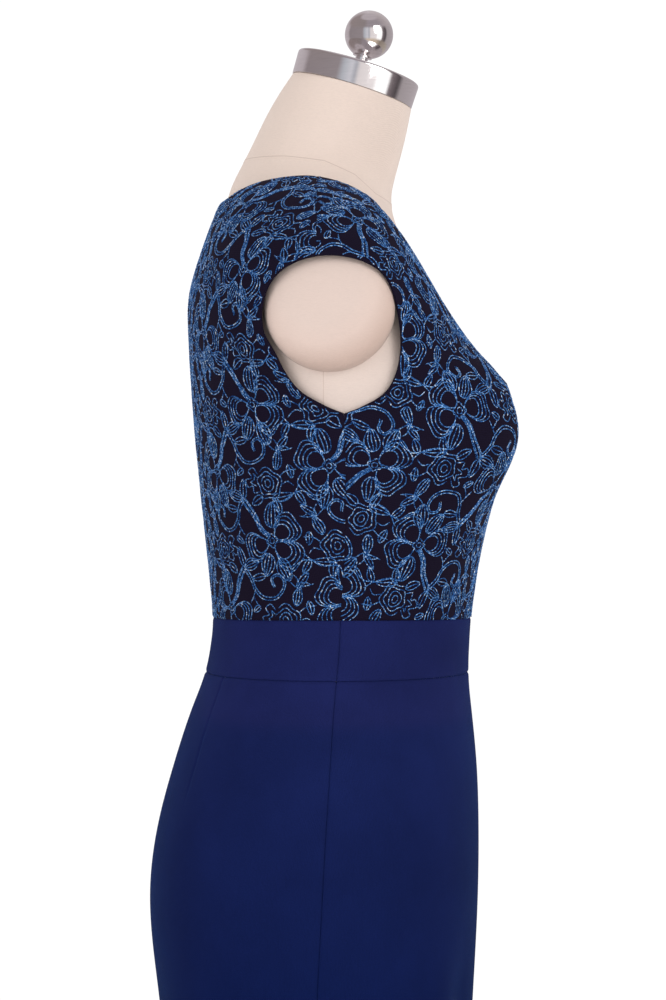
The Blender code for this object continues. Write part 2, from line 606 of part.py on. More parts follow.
def turned_ring(profile, sides=TURN_SIDES):
    """A turned bmesh whose outline may run up the inside of a bore."""
    mesh = bmesh.new()
    points = [mesh.verts.new((radius, 0.0, height)) for radius, height in profile]
    line = [mesh.edges.new(pair) for pair in zip(points, points[1:])]
    if profile[0][0] > 0.0:
        line.append(mesh.edges.new((points[-1], points[0])))
    bmesh.ops.spin(
        mesh, geom=points + line, axis=(0.0, 0.0, 1.0), cent=(0.0, 0.0, 0.0),
        steps=sides, angle=2.0 * math.pi, use_merge=True,
    )
    bmesh.ops.remove_doubles(mesh, verts=mesh.verts, dist=0.001)
    bmesh.ops.recalc_face_normals(mesh, faces=mesh.faces)
    return mesh


for old in list(bpy.data.objects):
    bpy.data.objects.remove(old)
make_dress()
make_torso()
make_arm_stubs()
make_neck_cap()
make_stand()
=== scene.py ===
# %% [markdown]
# # A cocktail dress on a dress form
#
# The dress is a fitted sheath. Its bodice is lace: a dark net on a dark backing, covered in
# flowers that are stitched in metallic blue thread. The waistband and the pencil skirt are a
# plain navy double knit. A padded form with a steel cap and a ball wears it.
#
# The solids of the part are already packed in one fixed frame, so the first step loads them.
# Everything after that is built in the same frame: metres, +Z up, the front of the dress
# facing -Y, the wearer's left at +X. The box of the solids is kept.
# %% Load the frame
import math
from collections import namedtuple

import bpy
import numpy as np
from mathutils import Matrix, Vector


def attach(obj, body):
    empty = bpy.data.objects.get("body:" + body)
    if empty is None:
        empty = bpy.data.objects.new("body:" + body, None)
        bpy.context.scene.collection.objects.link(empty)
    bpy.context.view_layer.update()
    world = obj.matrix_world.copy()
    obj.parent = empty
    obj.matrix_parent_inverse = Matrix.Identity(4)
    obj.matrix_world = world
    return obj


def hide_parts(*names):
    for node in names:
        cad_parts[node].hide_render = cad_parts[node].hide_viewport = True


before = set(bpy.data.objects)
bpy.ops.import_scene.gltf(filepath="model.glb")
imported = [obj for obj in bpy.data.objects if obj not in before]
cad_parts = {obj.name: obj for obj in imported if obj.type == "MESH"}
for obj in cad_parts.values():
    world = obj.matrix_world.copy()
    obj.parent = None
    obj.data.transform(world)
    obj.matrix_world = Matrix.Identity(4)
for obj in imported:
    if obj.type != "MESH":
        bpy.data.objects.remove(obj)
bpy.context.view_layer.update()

# %% [markdown]
# ## Smooth curves through a few measures
#
# A pattern cutter knows a body by a few measures, such as the waist, the hips and the bust, and
# draws smooth curves between them. Here a natural cubic spline does that. It could also be a
# Blender curve object, but a spline in numpy gives every point of a panel in one call.
#
# A neckline has a sharp corner at the bottom of its V, so one of the helpers lets a spline turn
# sharply at some of its knots.
# %% Helper: splines
def smooth(value, start, end):
    """3t^2 - 2t^3, with t the share of the way from start to end, kept between 0 and 1."""
    t = np.clip((value - start) / (end - start), 0.0, 1.0)
    return t * t * (3.0 - 2.0 * t)


def bell(distance, width):
    """exp(-(distance / width)^2): 1 at the middle, soft on both sides."""
    return np.exp(-((distance / width) ** 2))


def spline(knots, values, at):
    """The natural cubic spline: cubics whose slope and bend agree at each knot."""
    knots = np.asarray(knots, float)
    values = np.asarray(values, float).reshape(len(knots), -1)
    step = np.diff(knots)
    slope = np.diff(values, axis=0) / step[:, None]
    system, change = np.eye(len(knots)), np.zeros_like(values)
    for i in range(1, len(knots) - 1):
        system[i, i - 1:i + 2] = step[i - 1], 2.0 * (step[i - 1] + step[i]), step[i]
        change[i] = 6.0 * (slope[i] - slope[i - 1])
    bend = np.linalg.solve(system, change)
    i = np.clip(np.searchsorted(knots, at, side="right") - 1, 0, len(knots) - 2)
    h = step[i][:, None]
    a, b = (knots[i + 1] - at)[:, None], (at - knots[i])[:, None]
    ends = ((values[i] / h - bend[i] * h / 6.0) * a
            + (values[i + 1] / h - bend[i + 1] * h / 6.0) * b)
    return ends + (bend[i] * a**3 + bend[i + 1] * b**3) / (6.0 * h)


def spline_in_pieces(knots, values, corners, at):
    """A spline that may turn sharply at the knots numbered in corners."""
    ends = [0, *corners, len(knots) - 1]
    values = np.asarray(values, float)
    found = np.zeros((len(at), values.shape[1]))
    for first, last in zip(ends, ends[1:]):
        here = (at >= knots[first]) & (at <= knots[last])
        found[here] = spline(knots[first:last + 1], values[first:last + 1], at[here])
    return found


# %% [markdown]
# ## The measures of the dress
#
# The tables are in millimetres, as a dressmaker would note them. Each Ring is a level row round
# the body. The rows of the yoke, above the underarm, are no longer level: they run from the
# neckline to the armhole. A row is a Bezier curve that leaves its inner point towards a corner
# and arrives at its outer point from that corner. The fullness says how far it follows.
# %% Measures
MM = 0.001
Ring = namedtuple(
    "Ring", "side_z half_width side_y front_z front_y back_z back_y front_full back_full"
)
RINGS = [
    Ring(415.0, 158.0, 3.0, 415.0, -105.0, 415.0, 109.5, 0.60, 0.60),  # hem
    Ring(600.0, 163.0, 3.0, 600.0, -111.5, 600.0, 115.5, 0.60, 0.60),
    Ring(776.0, 169.0, 1.0, 776.0, -118.5, 776.0, 121.2, 0.60, 0.60),
    Ring(858.0, 171.5, -3.0, 858.0, -122.6, 858.0, 128.8, 0.59, 0.60),  # hips
    Ring(914.0, 168.0, -6.0, 914.0, -123.2, 914.0, 122.3, 0.58, 0.60),
    Ring(960.0, 159.5, -9.0, 960.0, -121.6, 960.0, 110.0, 0.58, 0.59),
    Ring(1006.0, 144.5, -12.0, 1006.0, -117.2, 1006.0, 94.6, 0.57, 0.58),
    Ring(1028.5, 135.0, -14.0, 1028.5, -115.5, 1028.5, 86.4, 0.57, 0.57),  # waistband, below
    Ring(1050.0, 126.5, -16.0, 1050.0, -116.2, 1050.0, 82.3, 0.57, 0.57),
    Ring(1072.0, 123.0, -17.0, 1070.0, -117.5, 1070.0, 80.8, 0.58, 0.58),  # waist seam
    Ring(1105.0, 127.0, -19.0, 1110.0, -123.0, 1117.0, 84.8, 0.64, 0.60),
    Ring(1145.0, 135.0, -20.5, 1158.0, -133.3, 1175.0, 90.9, 0.72, 0.62),
    Ring(1185.0, 144.0, -20.5, 1205.0, -142.0, 1230.0, 95.9, 0.78, 0.64),
    Ring(1222.0, 150.0, -19.4, 1250.0, -141.8, 1280.0, 98.9, 0.74, 0.66),  # underarm
]
HEM, WAISTBAND_BELOW, WAIST, UNDERARM = 415.0, 1028.5, 1072.0, 1222.0

Yoke = namedtuple("Yoke", "station inner corner outer full")
YOKE_FRONT = [
    Yoke(1265.0, (31.0, -114.0, 1281.5), (140.0, -121.0, 1264.0), (153.5, -49.2, 1236.6), 0.66),
    Yoke(1310.0, (53.0, -82.8, 1325.5), (137.0, -104.0, 1299.0), (157.0, -60.8, 1270.4), 0.60),
    Yoke(1348.0, (68.0, -59.0, 1361.8), (134.0, -79.0, 1341.0), (162.0, -57.4, 1301.8), 0.58),
    Yoke(1380.0, (77.5, -37.5, 1386.5), (142.0, -49.0, 1366.0), (171.0, -45.0, 1325.0), 0.58),
]
SHOULDER = Yoke(1422.0, (82.0, 1.0, 1400.7), (150.0, -1.0, 1381.0), (179.0, 1.0, 1334.5), 0.58)
YOKE_BACK = [
    Yoke(1398.0, (78.5, 20.0, 1401.0), (149.0, 30.0, 1372.0), (176.5, 25.4, 1324.8), 0.58),
    Yoke(1366.0, (56.0, 51.0, 1396.5), (144.0, 65.5, 1359.0), (169.0, 39.3, 1303.0), 0.58),
    Yoke(1343.0, (30.0, 68.3, 1389.5), (142.0, 86.0, 1343.0), (165.0, 40.4, 1288.0), 0.58),
    Yoke(1326.0, (10.0, 74.7, 1386.9), (143.0, 96.7, 1331.3), (162.2, 37.3, 1275.4), 0.59),
    Yoke(1318.0, (0.0, 75.3, 1386.6), (144.0, 100.0, 1325.0), (161.0, 33.6, 1269.3), 0.60),
    Yoke(1278.0, (0.0, 94.4, 1335.0), (149.0, 103.5, 1290.0), (157.0, 23.2, 1251.5), 0.62),
    Yoke(1250.0, (0.0, 99.3, 1308.0), (150.9, 101.4, 1287.2), (153.8, 7.3, 1233.2), 0.643),
]
BACK_NECK, EDGE_BLEND, NECK_BLEND = 1318.0, 30.0, 75.0
CUP_APEX_X, CUP_APEX_Z, CUP_DEPTH = 86.0, 1208.0, 14.6
CUP_SPREAD_X, CUP_SPREAD_Z = 42.0, 44.0
print("the dress is", RINGS[-1].front_z - HEM, "mm long at the centre front")

# %% [markdown]
# ## Where the skirt hangs free
#
# Below the hips nothing holds the knit out, so it settles into a few soft folds. Each is a
# trough (negative) or a ridge that starts under the hips and deepens towards the hem. They
# could come from a cloth simulation, but such a close skirt would hardly move in one, and a
# short table keeps each fold where it belongs.
# %% Folds of the skirt
Fold = namedtuple("Fold", "around spread top_z full_z depth")
FOLDS = [
    Fold(-0.30, 0.10, 862.0, 760.0, -5.0),
    Fold(-0.47, 0.10, 850.0, 740.0, 3.0),
    Fold(-0.72, 0.11, 800.0, 560.0, -2.5),
    Fold(0.34, 0.11, 856.0, 740.0, -4.5),
    Fold(0.55, 0.12, 840.0, 640.0, 2.5),
    Fold(0.82, 0.10, 760.0, 520.0, -2.0),
    Fold(1.35, 0.12, 800.0, 600.0, -3.0),
    Fold(1.62, 0.12, 780.0, 560.0, 2.5),
    Fold(-1.40, 0.12, 790.0, 600.0, -3.0),
    Fold(-1.70, 0.13, 770.0, 560.0, 2.0),
]


def unit(vectors):
    """Each vector divided by its own length."""
    return vectors / np.linalg.norm(vectors, axis=-1, keepdims=True)


def fold_push(points, around):
    """Sum of depth x S-curve(height) x bell(distance round the body), pointing off the pole."""
    push = np.zeros(points.shape[:2])
    for fold in FOLDS:
        apart = np.abs(around - fold.around)
        out = 1.0 - smooth(points[..., 2], fold.full_z, fold.top_z)
        push += fold.depth * out * bell(np.minimum(apart, 4.0 - apart), fold.spread)
    return unit(points * np.array([1.0, 1.0, 0.0])) * push[..., None]


print(len(FOLDS), "folds, the deepest", max(abs(f.depth) for f in FOLDS), "mm")

# %% [markdown]
# ## One strip for half the dress
#
# Half of the dress is one smooth strip, from the front hem over the shoulder to the back hem.
# The seams then cut it into panels, so the panels meet exactly. `place` is the length along the
# strip, `across` goes from 0 at the centre or neckline to 1 at the side seam or armhole. The
# cups are two bell curves added to the front.
# %% Helper: the strip
def strip_knots():
    """Every row of the strip in order: front hem to shoulder, then shoulder to back hem."""
    sides = []
    for y, z, full in (("front_y", "front_z", "front_full"), ("back_y", "back_z", "back_full")):
        sides.append([
            (r.side_z, (0.0, getattr(r, y), getattr(r, z)),
             (r.half_width, getattr(r, y), getattr(r, z)),
             (r.half_width, r.side_y, r.side_z), getattr(r, full))
            for r in RINGS
        ])
    over = 2.0 * SHOULDER.station
    down = [(over - row[0], *row[1:]) for row in [*YOKE_BACK, *reversed(sides[1])]]
    return sides[0] + [tuple(y) for y in YOKE_FRONT] + [tuple(SHOULDER)] + down


STRIP = strip_knots()
KNOTS = [row[0] for row in STRIP]
INNER, CORNER, OUTER = ([row[k] for row in STRIP] for k in (1, 2, 3))
FULLNESS = [[row[4]] for row in STRIP]
BACK_OF = 2.0 * SHOULDER.station
NECK_END, ARM_END = BACK_OF - BACK_NECK, BACK_OF - UNDERARM


def bezier(start, near, far, end, s):
    """(1-s)^3 start + 3s(1-s)^2 near + 3s^2(1-s) far + s^3 end."""
    return (start * (1 - s) ** 3 + near * 3 * s * (1 - s) ** 2
            + far * 3 * s * s * (1 - s) + end * s**3)


def strip_surface(place, across, side):
    """A Bezier curve for each row, plus the cups and the folds.

    place has one value for each row, across one for each point. near and far lie on the way
    from the row's ends to its corner. side is 1 for the left half and -1 for the right.
    """
    inner = spline_in_pieces(KNOTS, INNER, [KNOTS.index(UNDERARM), KNOTS.index(NECK_END)], place)
    outer = spline_in_pieces(KNOTS, OUTER, [KNOTS.index(UNDERARM), KNOTS.index(ARM_END)], place)
    corner, full = spline(KNOTS, CORNER, place), spline(KNOTS, FULLNESS, place)
    opening = smooth(place, UNDERARM, UNDERARM + EDGE_BLEND)
    on_neck = opening * (1.0 - smooth(place, NECK_END, NECK_END + NECK_BLEND))
    on_arm = opening * (1.0 - smooth(place, ARM_END - EDGE_BLEND, ARM_END))
    one = np.ones(len(place))
    near = inner + full * (corner - inner) * np.stack([one, on_neck, on_neck], axis=1)
    far = outer + full * (corner - outer) * np.stack([on_arm, one, on_arm], axis=1)
    points = bezier(*(row[:, None] for row in (inner, near, far, outer)), across[..., None])
    on_front = (place <= SHOULDER.station)[:, None]
    points[..., 1] -= cup_depth(points, across) * on_front
    around = np.where(on_front, across, 2.0 - across) * side
    points += fold_push(points, around)
    points[..., 0] *= side
    return points


def cup_depth(points, across):
    """depth x (bell of x round both apexes) x (bell of z), fading to 0 at the side seam."""
    bells = sum(bell(points[..., 0] - apex, CUP_SPREAD_X) for apex in (CUP_APEX_X, -CUP_APEX_X))
    return CUP_DEPTH * bells * bell(points[..., 2] - CUP_APEX_Z, CUP_SPREAD_Z) * (1 - across**6)


STEP_ALONG, STEP_ACROSS = 0.5, 0.002  # small steps, in mm and as a share of the row


def outward(place, across, side):
    """Unit normals: the cross product of a small step across and a small step along."""
    ahead = np.minimum(place + STEP_ALONG, place[-1])
    behind = np.maximum(place - STEP_ALONG, place[0])
    along = strip_surface(ahead, across, side) - strip_surface(behind, across, side)
    further = np.minimum(across + STEP_ACROSS, 1.0)
    nearer = np.maximum(across - STEP_ACROSS, 0.0)
    crosswise = strip_surface(place, further, side) - strip_surface(place, nearer, side)
    return unit(np.cross(crosswise, along) * side)


print("the strip has", len(STRIP), "rows and is", KNOTS[-1] - KNOTS[0], "mm long")

# %% [markdown]
# ## Seams, darts and puckers
#
# Where two pieces are sewn, both edges turn in, so a seam is a fine groove, and the thread pulls
# the cloth beside it into tiny waves. A dart is a seam inside one piece that fades to nothing.
# All of this is a small push along the surface normal, as a function of the place on the strip,
# so the panels and the embroidery on them follow the same relief.
# %% Helper: relief
ROW_LENGTH = 175.0  # about the length of a row, in mm, to turn a share into a distance
SEAM_DEPTH, LACE_SEAM_DEPTH, SEAM_WIDTH = 0.8, 0.3, 1.2
SIDE_PUCKER, SIDE_PUCKER_AT, SIDE_PUCKER_REACH = 0.22, 6.0, 9.0  # height, distance, reach
CROSS_PUCKER, CROSS_PUCKER_REACH = 0.12, 10.0
DART_ACROSS, DART_FROM, DART_TO, DART_FADE = 0.367, 1028.5, 925.0, 45.0  # on the skirt's back
DART_DEPTH, DART_WIDTH = 0.75, 1.1
TIP_RISE, TIP_HEIGHT, TIP_WIDTH = 0.5, 26.0, 20.0  # the swell that a dart's tip leaves
CROSS_SEAMS = [WAISTBAND_BELOW, WAIST, SHOULDER.station, BACK_OF - WAIST,
               BACK_OF - WAISTBAND_BELOW]


def station_of(place):
    """The place itself on the front; on the back, the place of the front at the same height."""
    return np.where(place <= SHOULDER.station, place, BACK_OF - place)


def relief(place, across):
    """Minus a bell curve at each seam and dart, plus sine waves that die away beside them."""
    station = station_of(place)
    on_back = (place > SHOULDER.station) * 1.0
    beside = (1.0 - across) * ROW_LENGTH
    sewn = (station <= UNDERARM) * 1.0
    depth = np.where(station > WAIST + 1.0, LACE_SEAM_DEPTH, SEAM_DEPTH)
    push = -depth * bell(beside, SEAM_WIDTH) * sewn
    wave = np.sin(station / 3.7 + 1.7 * np.sin(station / 13.0))
    wave = wave * (0.6 + 0.4 * np.sin(station / 31.0))
    near_side = bell(beside - SIDE_PUCKER_AT, SIDE_PUCKER_REACH)
    push = push + SIDE_PUCKER * wave * near_side * sewn * (station < WAIST)
    for seam in CROSS_SEAMS:
        push = push - depth * bell(place - seam, SEAM_WIDTH)
        ripple = np.sin(across * 61.0 + 2.0 * np.sin(across * 17.0 + seam))
        on_skirt = seam < WAIST or seam > BACK_OF - WAIST
        push = push + CROSS_PUCKER * ripple * bell(place - seam, CROSS_PUCKER_REACH) * on_skirt
    from_dart = (across - DART_ACROSS) * ROW_LENGTH
    fade = smooth(station, DART_TO, DART_TO + DART_FADE) * (station < DART_FROM) * on_back
    push = push - DART_DEPTH * fade * bell(from_dart, DART_WIDTH)
    tip = bell(station - DART_TO, TIP_HEIGHT) * on_back
    return push + TIP_RISE * tip * bell(from_dart, TIP_WIDTH)


probe = relief(np.array([[1000.0]]), np.array([[1.0]]))
print("a side seam is", round(float(-probe[0, 0]), 2), "mm deep")

# %% [markdown]
# ## The pattern pieces, laid flat
#
# A lace is woven flat and cut flat, so its flowers must be laid out on the flat piece first and
# then carried to the body with it. To find the flat piece, the curved panel is flattened so that
# each small triangle keeps its own shape and may only turn. Blender's UV unwrap does something
# like it; doing it here keeps real millimetres, which also gives the size of each cut piece.
# %% Helper: flatten a panel
def lay_flat(points, triangles, start, rounds=20):
    """As rigid as possible: turn each triangle to fit its corners, then move all the corners
    to the least-squares fit of the turned triangles, and repeat."""
    corner = points[triangles]
    along, other = corner[:, 1] - corner[:, 0], corner[:, 2] - corner[:, 0]
    length = np.linalg.norm(along, axis=1)
    run = (along * other).sum(1) / length
    rise = np.linalg.norm(np.cross(along, other), axis=1) / length
    local = np.zeros((len(triangles), 3, 2))
    local[:, 1, 0], local[:, 2, 0], local[:, 2, 1] = length, run, rise
    edges = []
    for k in range(3):
        i, j = (k + 1) % 3, (k + 2) % 3
        u, v = local[:, i] - local[:, k], local[:, j] - local[:, k]
        weight = (u * v).sum(1) / np.abs(u[:, 0] * v[:, 1] - u[:, 1] * v[:, 0])
        edges.append((triangles[:, i], triangles[:, j], weight, local[:, i] - local[:, j]))
    system = np.zeros((len(points), len(points)))
    for i, j, weight, _ in edges:
        for a, b, sign in ((i, i, 1), (j, j, 1), (i, j, -1), (j, i, -1)):
            np.add.at(system, (a, b), sign * weight)
    system[0, 0] += 1.0
    solve, flat = np.linalg.inv(system), start.copy()
    for _ in range(rounds):
        fit = sum(
            weight[:, None, None] * (flat[i] - flat[j])[:, :, None] * rest[:, None, :]
            for i, j, weight, rest in edges
        )
        turn = np.arctan2(fit[:, 1, 0] - fit[:, 0, 1], fit[:, 0, 0] + fit[:, 1, 1])
        cos, sin = np.cos(turn), np.sin(turn)
        pull = np.zeros_like(flat)
        for i, j, weight, rest in edges:
            turned = np.stack([cos * rest[:, 0] - sin * rest[:, 1],
                               sin * rest[:, 0] + cos * rest[:, 1]], axis=1) * weight[:, None]
            np.add.at(pull, i, turned)
            np.add.at(pull, j, -turned)
        flat = solve @ pull
    return flat


ON_CENTRE = 0.001  # a row starts on the centre line if it starts this near to x = 0, in mm


def number_halves(halves):
    """Vertex numbers of the two halves of a panel, one number where they share the centre."""
    rows, columns = halves[0].shape[:2]
    ids = np.arange(2 * rows * columns).reshape(2, rows, columns)
    joined = np.abs(halves[0][:, 0, 0]) < ON_CENTRE
    ids[1, joined, 0] = ids[0, joined, 0]
    used, packed = np.unique(ids, return_inverse=True)
    return packed.reshape(ids.shape), used


def quads_of(ids):
    """Four corner numbers for each cell of both halves, turned so that all face outwards."""
    cells = []
    for half, turn in ((0, 1), (1, -1)):
        n = ids[half]
        corners = [n[:-1, :-1], n[:-1, 1:], n[1:, 1:], n[1:, :-1]][::turn]
        cells.append(np.stack(corners, axis=-1).reshape(-1, 4))
    return np.concatenate(cells)


Pattern = namedtuple("Pattern", "places shares flat width length area")
FIRST_WIDEN = 1.3  # the first guess is the panel seen from the front, made this much wider


def cut_pattern(start, end, spacing=16.0, columns=14):
    """The flat piece of a panel: v runs up the centre line, u to the wearer's left."""
    places = np.linspace(start, end, max(round((end - start) / spacing), 5) + 1)
    shares = np.linspace(0.0, 1.0, columns + 1)
    across = np.tile(shares, (len(places), 1))
    halves = [strip_surface(places, across, side) for side in (1, -1)]
    ids, used = number_halves(halves)
    points = np.concatenate([h.reshape(-1, 3) for h in halves])[used]
    quads = quads_of(ids)
    triangles = np.concatenate([quads[:, :3], quads[:, [0, 2, 3]]])
    facing = 1.0 if start < SHOULDER.station else -1.0
    guess = np.stack([points[:, 0] * FIRST_WIDEN * facing, points[:, 2]], axis=1)
    flat = lay_flat(points, triangles, guess)
    middle = ids[0, np.abs(halves[0][:, 0, 0]) < ON_CENTRE, 0]
    centre, heights = flat[middle], points[middle, 2]
    up = centre[-1] - centre[0]
    up = up / np.linalg.norm(up) * np.sign(heights[-1] - heights[0])
    right = np.array([up[1], -up[0]])
    flat = np.stack([(flat - centre[0]) @ right, (flat - centre[0]) @ up], axis=1)
    if flat[ids[0, :, -1], 0].mean() < 0.0:
        flat[:, 0] *= -1.0
    flat[:, 1] -= flat[:, 1].min()
    a, b, c = (flat[triangles[:, k]] for k in range(3))
    area = np.abs(np.cross(b - a, c - a)).sum() / 2.0
    size = flat.max(0) - flat.min(0)
    return Pattern(places, shares, flat[ids], size[0], size[1], area)


def cell_mean(grid, i, j, following, a, b):
    """A cell's 4 corners weighted 1-a and a between its rows, 1-b and b between its columns."""
    low = grid[i, j] * (1 - b) + grid[i, following] * b
    high = grid[i + 1, j] * (1 - b) + grid[i + 1, following] * b
    return low * (1 - a) + high * a


def on_pattern(pattern, half, place, across):
    """The flat (u, v) of points on a panel, each from the cell that it lies in."""
    row = (place - pattern.places[0]) / (pattern.places[1] - pattern.places[0])
    column = across * (len(pattern.shares) - 1)
    i = np.clip(row.astype(int), 0, len(pattern.places) - 2)
    j = np.clip(column.astype(int), 0, len(pattern.shares) - 2)
    a, b = (row - i)[..., None], (column - j)[..., None]
    return cell_mean(pattern.flat[half], i, j, j + 1, a, b)


SPANS = {
    "skirt_front": (HEM, WAISTBAND_BELOW), "waistband_front": (WAISTBAND_BELOW, WAIST),
    "bodice_front": (WAIST, SHOULDER.station),
    "bodice_back": (SHOULDER.station, BACK_OF - WAIST),
    "waistband_back": (BACK_OF - WAIST, BACK_OF - WAISTBAND_BELOW),
    "skirt_back": (BACK_OF - WAISTBAND_BELOW, BACK_OF - HEM),
}
PATTERNS = {name: cut_pattern(*span) for name, span in SPANS.items()}
for name, p in PATTERNS.items():
    print(name, "is cut", round(p.width), "x", round(p.length), "mm,", round(p.area / 100), "cm2")

# %% [markdown]
# ## The cloth panels
#
# Each piece of the dress is a thin closed shell: an outer skin, a lining skin two millimetres
# inside it, and a narrow rim between them that is rounded over, as a turned hem is. The rows and
# columns stand close together beside the seams, where the relief bends, and further apart on
# the open cloth. The flat pattern is kept as a UV map in metres, so weave and net keep one size.
# %% The panels of the dress
CLOTH, SEAM_GAP = 2.0, 0.05  # the shell's thickness, and the slit that a closed seam leaves
NEAR_SEAM = np.array([0.0, 0.7, 1.3, 2.0, 3.2, 6.0])
NEAR_DART = np.array([-2.4, -1.2, -0.5, 0.5, 1.2, 2.4])
RIM_WIDTH, RIM_ANGLE, CENTRE_SNAP, LINING_RELIEF = 0.55, 55.0, 0.02, 0.3


def spread(start, end, spacing, close=NEAR_SEAM):
    """Even steps from start to end, with closer steps at both ends."""
    inner = np.linspace(start + close[-1], end - close[-1], max(round((end - start) / spacing), 3))
    return np.concatenate([start + close[:-1], inner, end - close[-2::-1]])


def new_mesh(name, points, faces, uv=None, finish=None):
    """A mesh object from points in metres; uv has one pair for each point."""
    mesh = bpy.data.meshes.new(name)
    mesh.from_pydata(points.tolist(), [], faces.tolist() if hasattr(faces, "tolist") else faces)
    if uv is not None:
        corner = np.zeros(len(mesh.loops), np.int32)
        mesh.loops.foreach_get("vertex_index", corner)
        layer = mesh.uv_layers.new(name="flat")
        layer.uv.foreach_set("vector", uv[corner].astype(np.float32).ravel())
    mesh.shade_smooth()
    made = bpy.data.objects.new(name, mesh)
    bpy.context.scene.collection.objects.link(made)
    if finish is not None:
        mesh.materials.append(finish)
    return made


def rounded_rim(made):
    """Rounds the sharp edges over, as a turned hem is."""
    bevel = made.modifiers.new("rounded rim", "BEVEL")
    bevel.width, bevel.segments, bevel.limit_method = RIM_WIDTH * MM, 2, "ANGLE"
    bevel.angle_limit = math.radians(RIM_ANGLE)


def panel_grid(span, name, spacing=4.6, columns=40):
    """The places and shares of a panel's grid: the sewn ends stop half a gap short."""
    start, end = span
    sewn_start, sewn_end = start > HEM, end < BACK_OF - HEM
    places = spread(start + sewn_start * SEAM_GAP / 2, end - sewn_end * SEAM_GAP / 2, spacing)
    edge = 1.0 - NEAR_SEAM[::-1] / ROW_LENGTH
    shares = [np.linspace(0.0, edge[0], columns)[:-1], edge]
    if name == "skirt_back":
        shares.append(DART_ACROSS + NEAR_DART / ROW_LENGTH)
    return places, np.sort(np.concatenate(shares))


def cloth_panel(name):
    """The closed shell of one panel. Its rows give the outer skin; the lining lies inside."""
    places, shares = panel_grid(SPANS[name], name)
    across = np.tile(shares, (len(places), 1))
    place = np.tile(places[:, None], len(shares))
    push = relief(place, across)[..., None]
    bare, outer, inner, flat = [], [], [], []
    for half, side in ((0, 1), (1, -1)):
        skin, normal = strip_surface(places, across, side), outward(places, across, side)
        bare.append(skin)
        outer.append(skin + normal * push)
        inner.append(skin + normal * (push * LINING_RELIEF - CLOTH))
        flat.append(on_pattern(PATTERNS[name], half, place, across))
    ids, used = number_halves(bare)
    skins = [np.concatenate([half.reshape(-1, 3) for half in both])[used]
             for both in (outer, inner)]
    level = np.abs(skins[0][:, 0]) < CENTRE_SNAP
    for skin in skins:
        skin[level, 0] = 0.0
    quads = quads_of(ids)
    n = len(skins[0])
    pairs = np.concatenate([quads[:, [k, (k + 1) % 4]] for k in range(4)])
    code = pairs[:, 0] * n + pairs[:, 1]
    rim = pairs[~np.isin(code, pairs[:, 1] * n + pairs[:, 0])]
    rim = np.stack([rim[:, 1], rim[:, 0], rim[:, 0] + n, rim[:, 1] + n], axis=1)
    uv = np.concatenate([half.reshape(-1, 2) for half in flat])[used] * MM
    return new_mesh(
        name + "_cloth", np.concatenate(skins) * MM,
        np.concatenate([quads, quads[:, ::-1] + n, rim]), np.concatenate([uv, uv]),
    )


PANELS = {name: cloth_panel(name) for name in SPANS}
for name, made in PANELS.items():
    rounded_rim(made)
    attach(made, "root")
    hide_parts(name)
    print(made.name, len(made.data.polygons), "faces")

# %% [markdown]
# ## The form under the dress
#
# The form is the same kind of surface, one closed ring after another. Below the underarm its
# rings are the dress's rings taken in by the cloth and a little ease. Above, it has rows of its
# own for the shoulders and the neck, which leans forward.
# %% Measures of the form
FormRow = namedtuple("FormRow", "side front_y front_z back_y back_z front_full back_full")
FORM_ROWS = [
    FormRow((154.5, -18.5, 1254.0), -120.0, 1268.0, 95.0, 1296.0, 0.685, 0.68),
    FormRow((159.0, -16.0, 1288.0), -98.0, 1297.0, 91.0, 1326.0, 0.68, 0.68),
    FormRow((158.0, -11.0, 1320.0), -79.5, 1322.0, 85.6, 1349.0, 0.66, 0.64),
    FormRow((148.0, -5.0, 1344.5), -68.0, 1347.0, 81.5, 1363.0, 0.58, 0.57),
    FormRow((133.5, -1.0, 1366.0), -61.5, 1366.0, 77.0, 1373.0, 0.53, 0.52),
    FormRow((111.5, 0.0, 1382.0), -57.6, 1379.0, 73.5, 1381.0, 0.495, 0.49),
    FormRow((86.0, 1.0, 1392.2), -56.5, 1387.5, 69.8, 1390.0, 0.485, 0.465),
    FormRow((63.0, 1.0, 1409.5), -56.8, 1397.0, 65.6, 1402.5, 0.54, 0.50),  # neck base
    FormRow((54.5, -5.0, 1431.0), -60.3, 1412.0, 54.0, 1425.5, 0.55, 0.55),
    FormRow((50.0, -15.5, 1452.0), -66.8, 1437.0, 37.5, 1459.0, 0.55, 0.55),
    FormRow((47.5, -28.0, 1480.0), -73.5, 1471.0, 13.5, 1496.0, 0.55, 0.55),
]
FORM_EASE, FORM_CUP_SHARE, FORM_BOTTOM, FORM_EDGE = 1.2, 0.93, 822.0, 16.0
NECK_LEAN, NECK_TOP = math.radians(17.0), (0.0, -25.8, 1474.0)
CAP_RADIUS, CAP_HEIGHT, CAP_EDGE, BALL_RADIUS, BALL_RISE = 48.3, 19.5, 2.5, 18.6, 26.3
STUB_Y, STUB_Z, STUB_RADIUS, STUB_FLATNESS = -9.0, 1300.0, 47.8, 0.78
STUB_ROOT, STUB_RIM, STUB_DOME = 118.0, 152.5, 22.0
POLE_RADIUS, BASE_RADIUS, BASE_HEIGHT = 12.5, 165.0, 10.0
LOW_ROWS, HIGH_ROWS = np.linspace(845.0, 1205.0, 44), 64  # heights in mm; how many above them


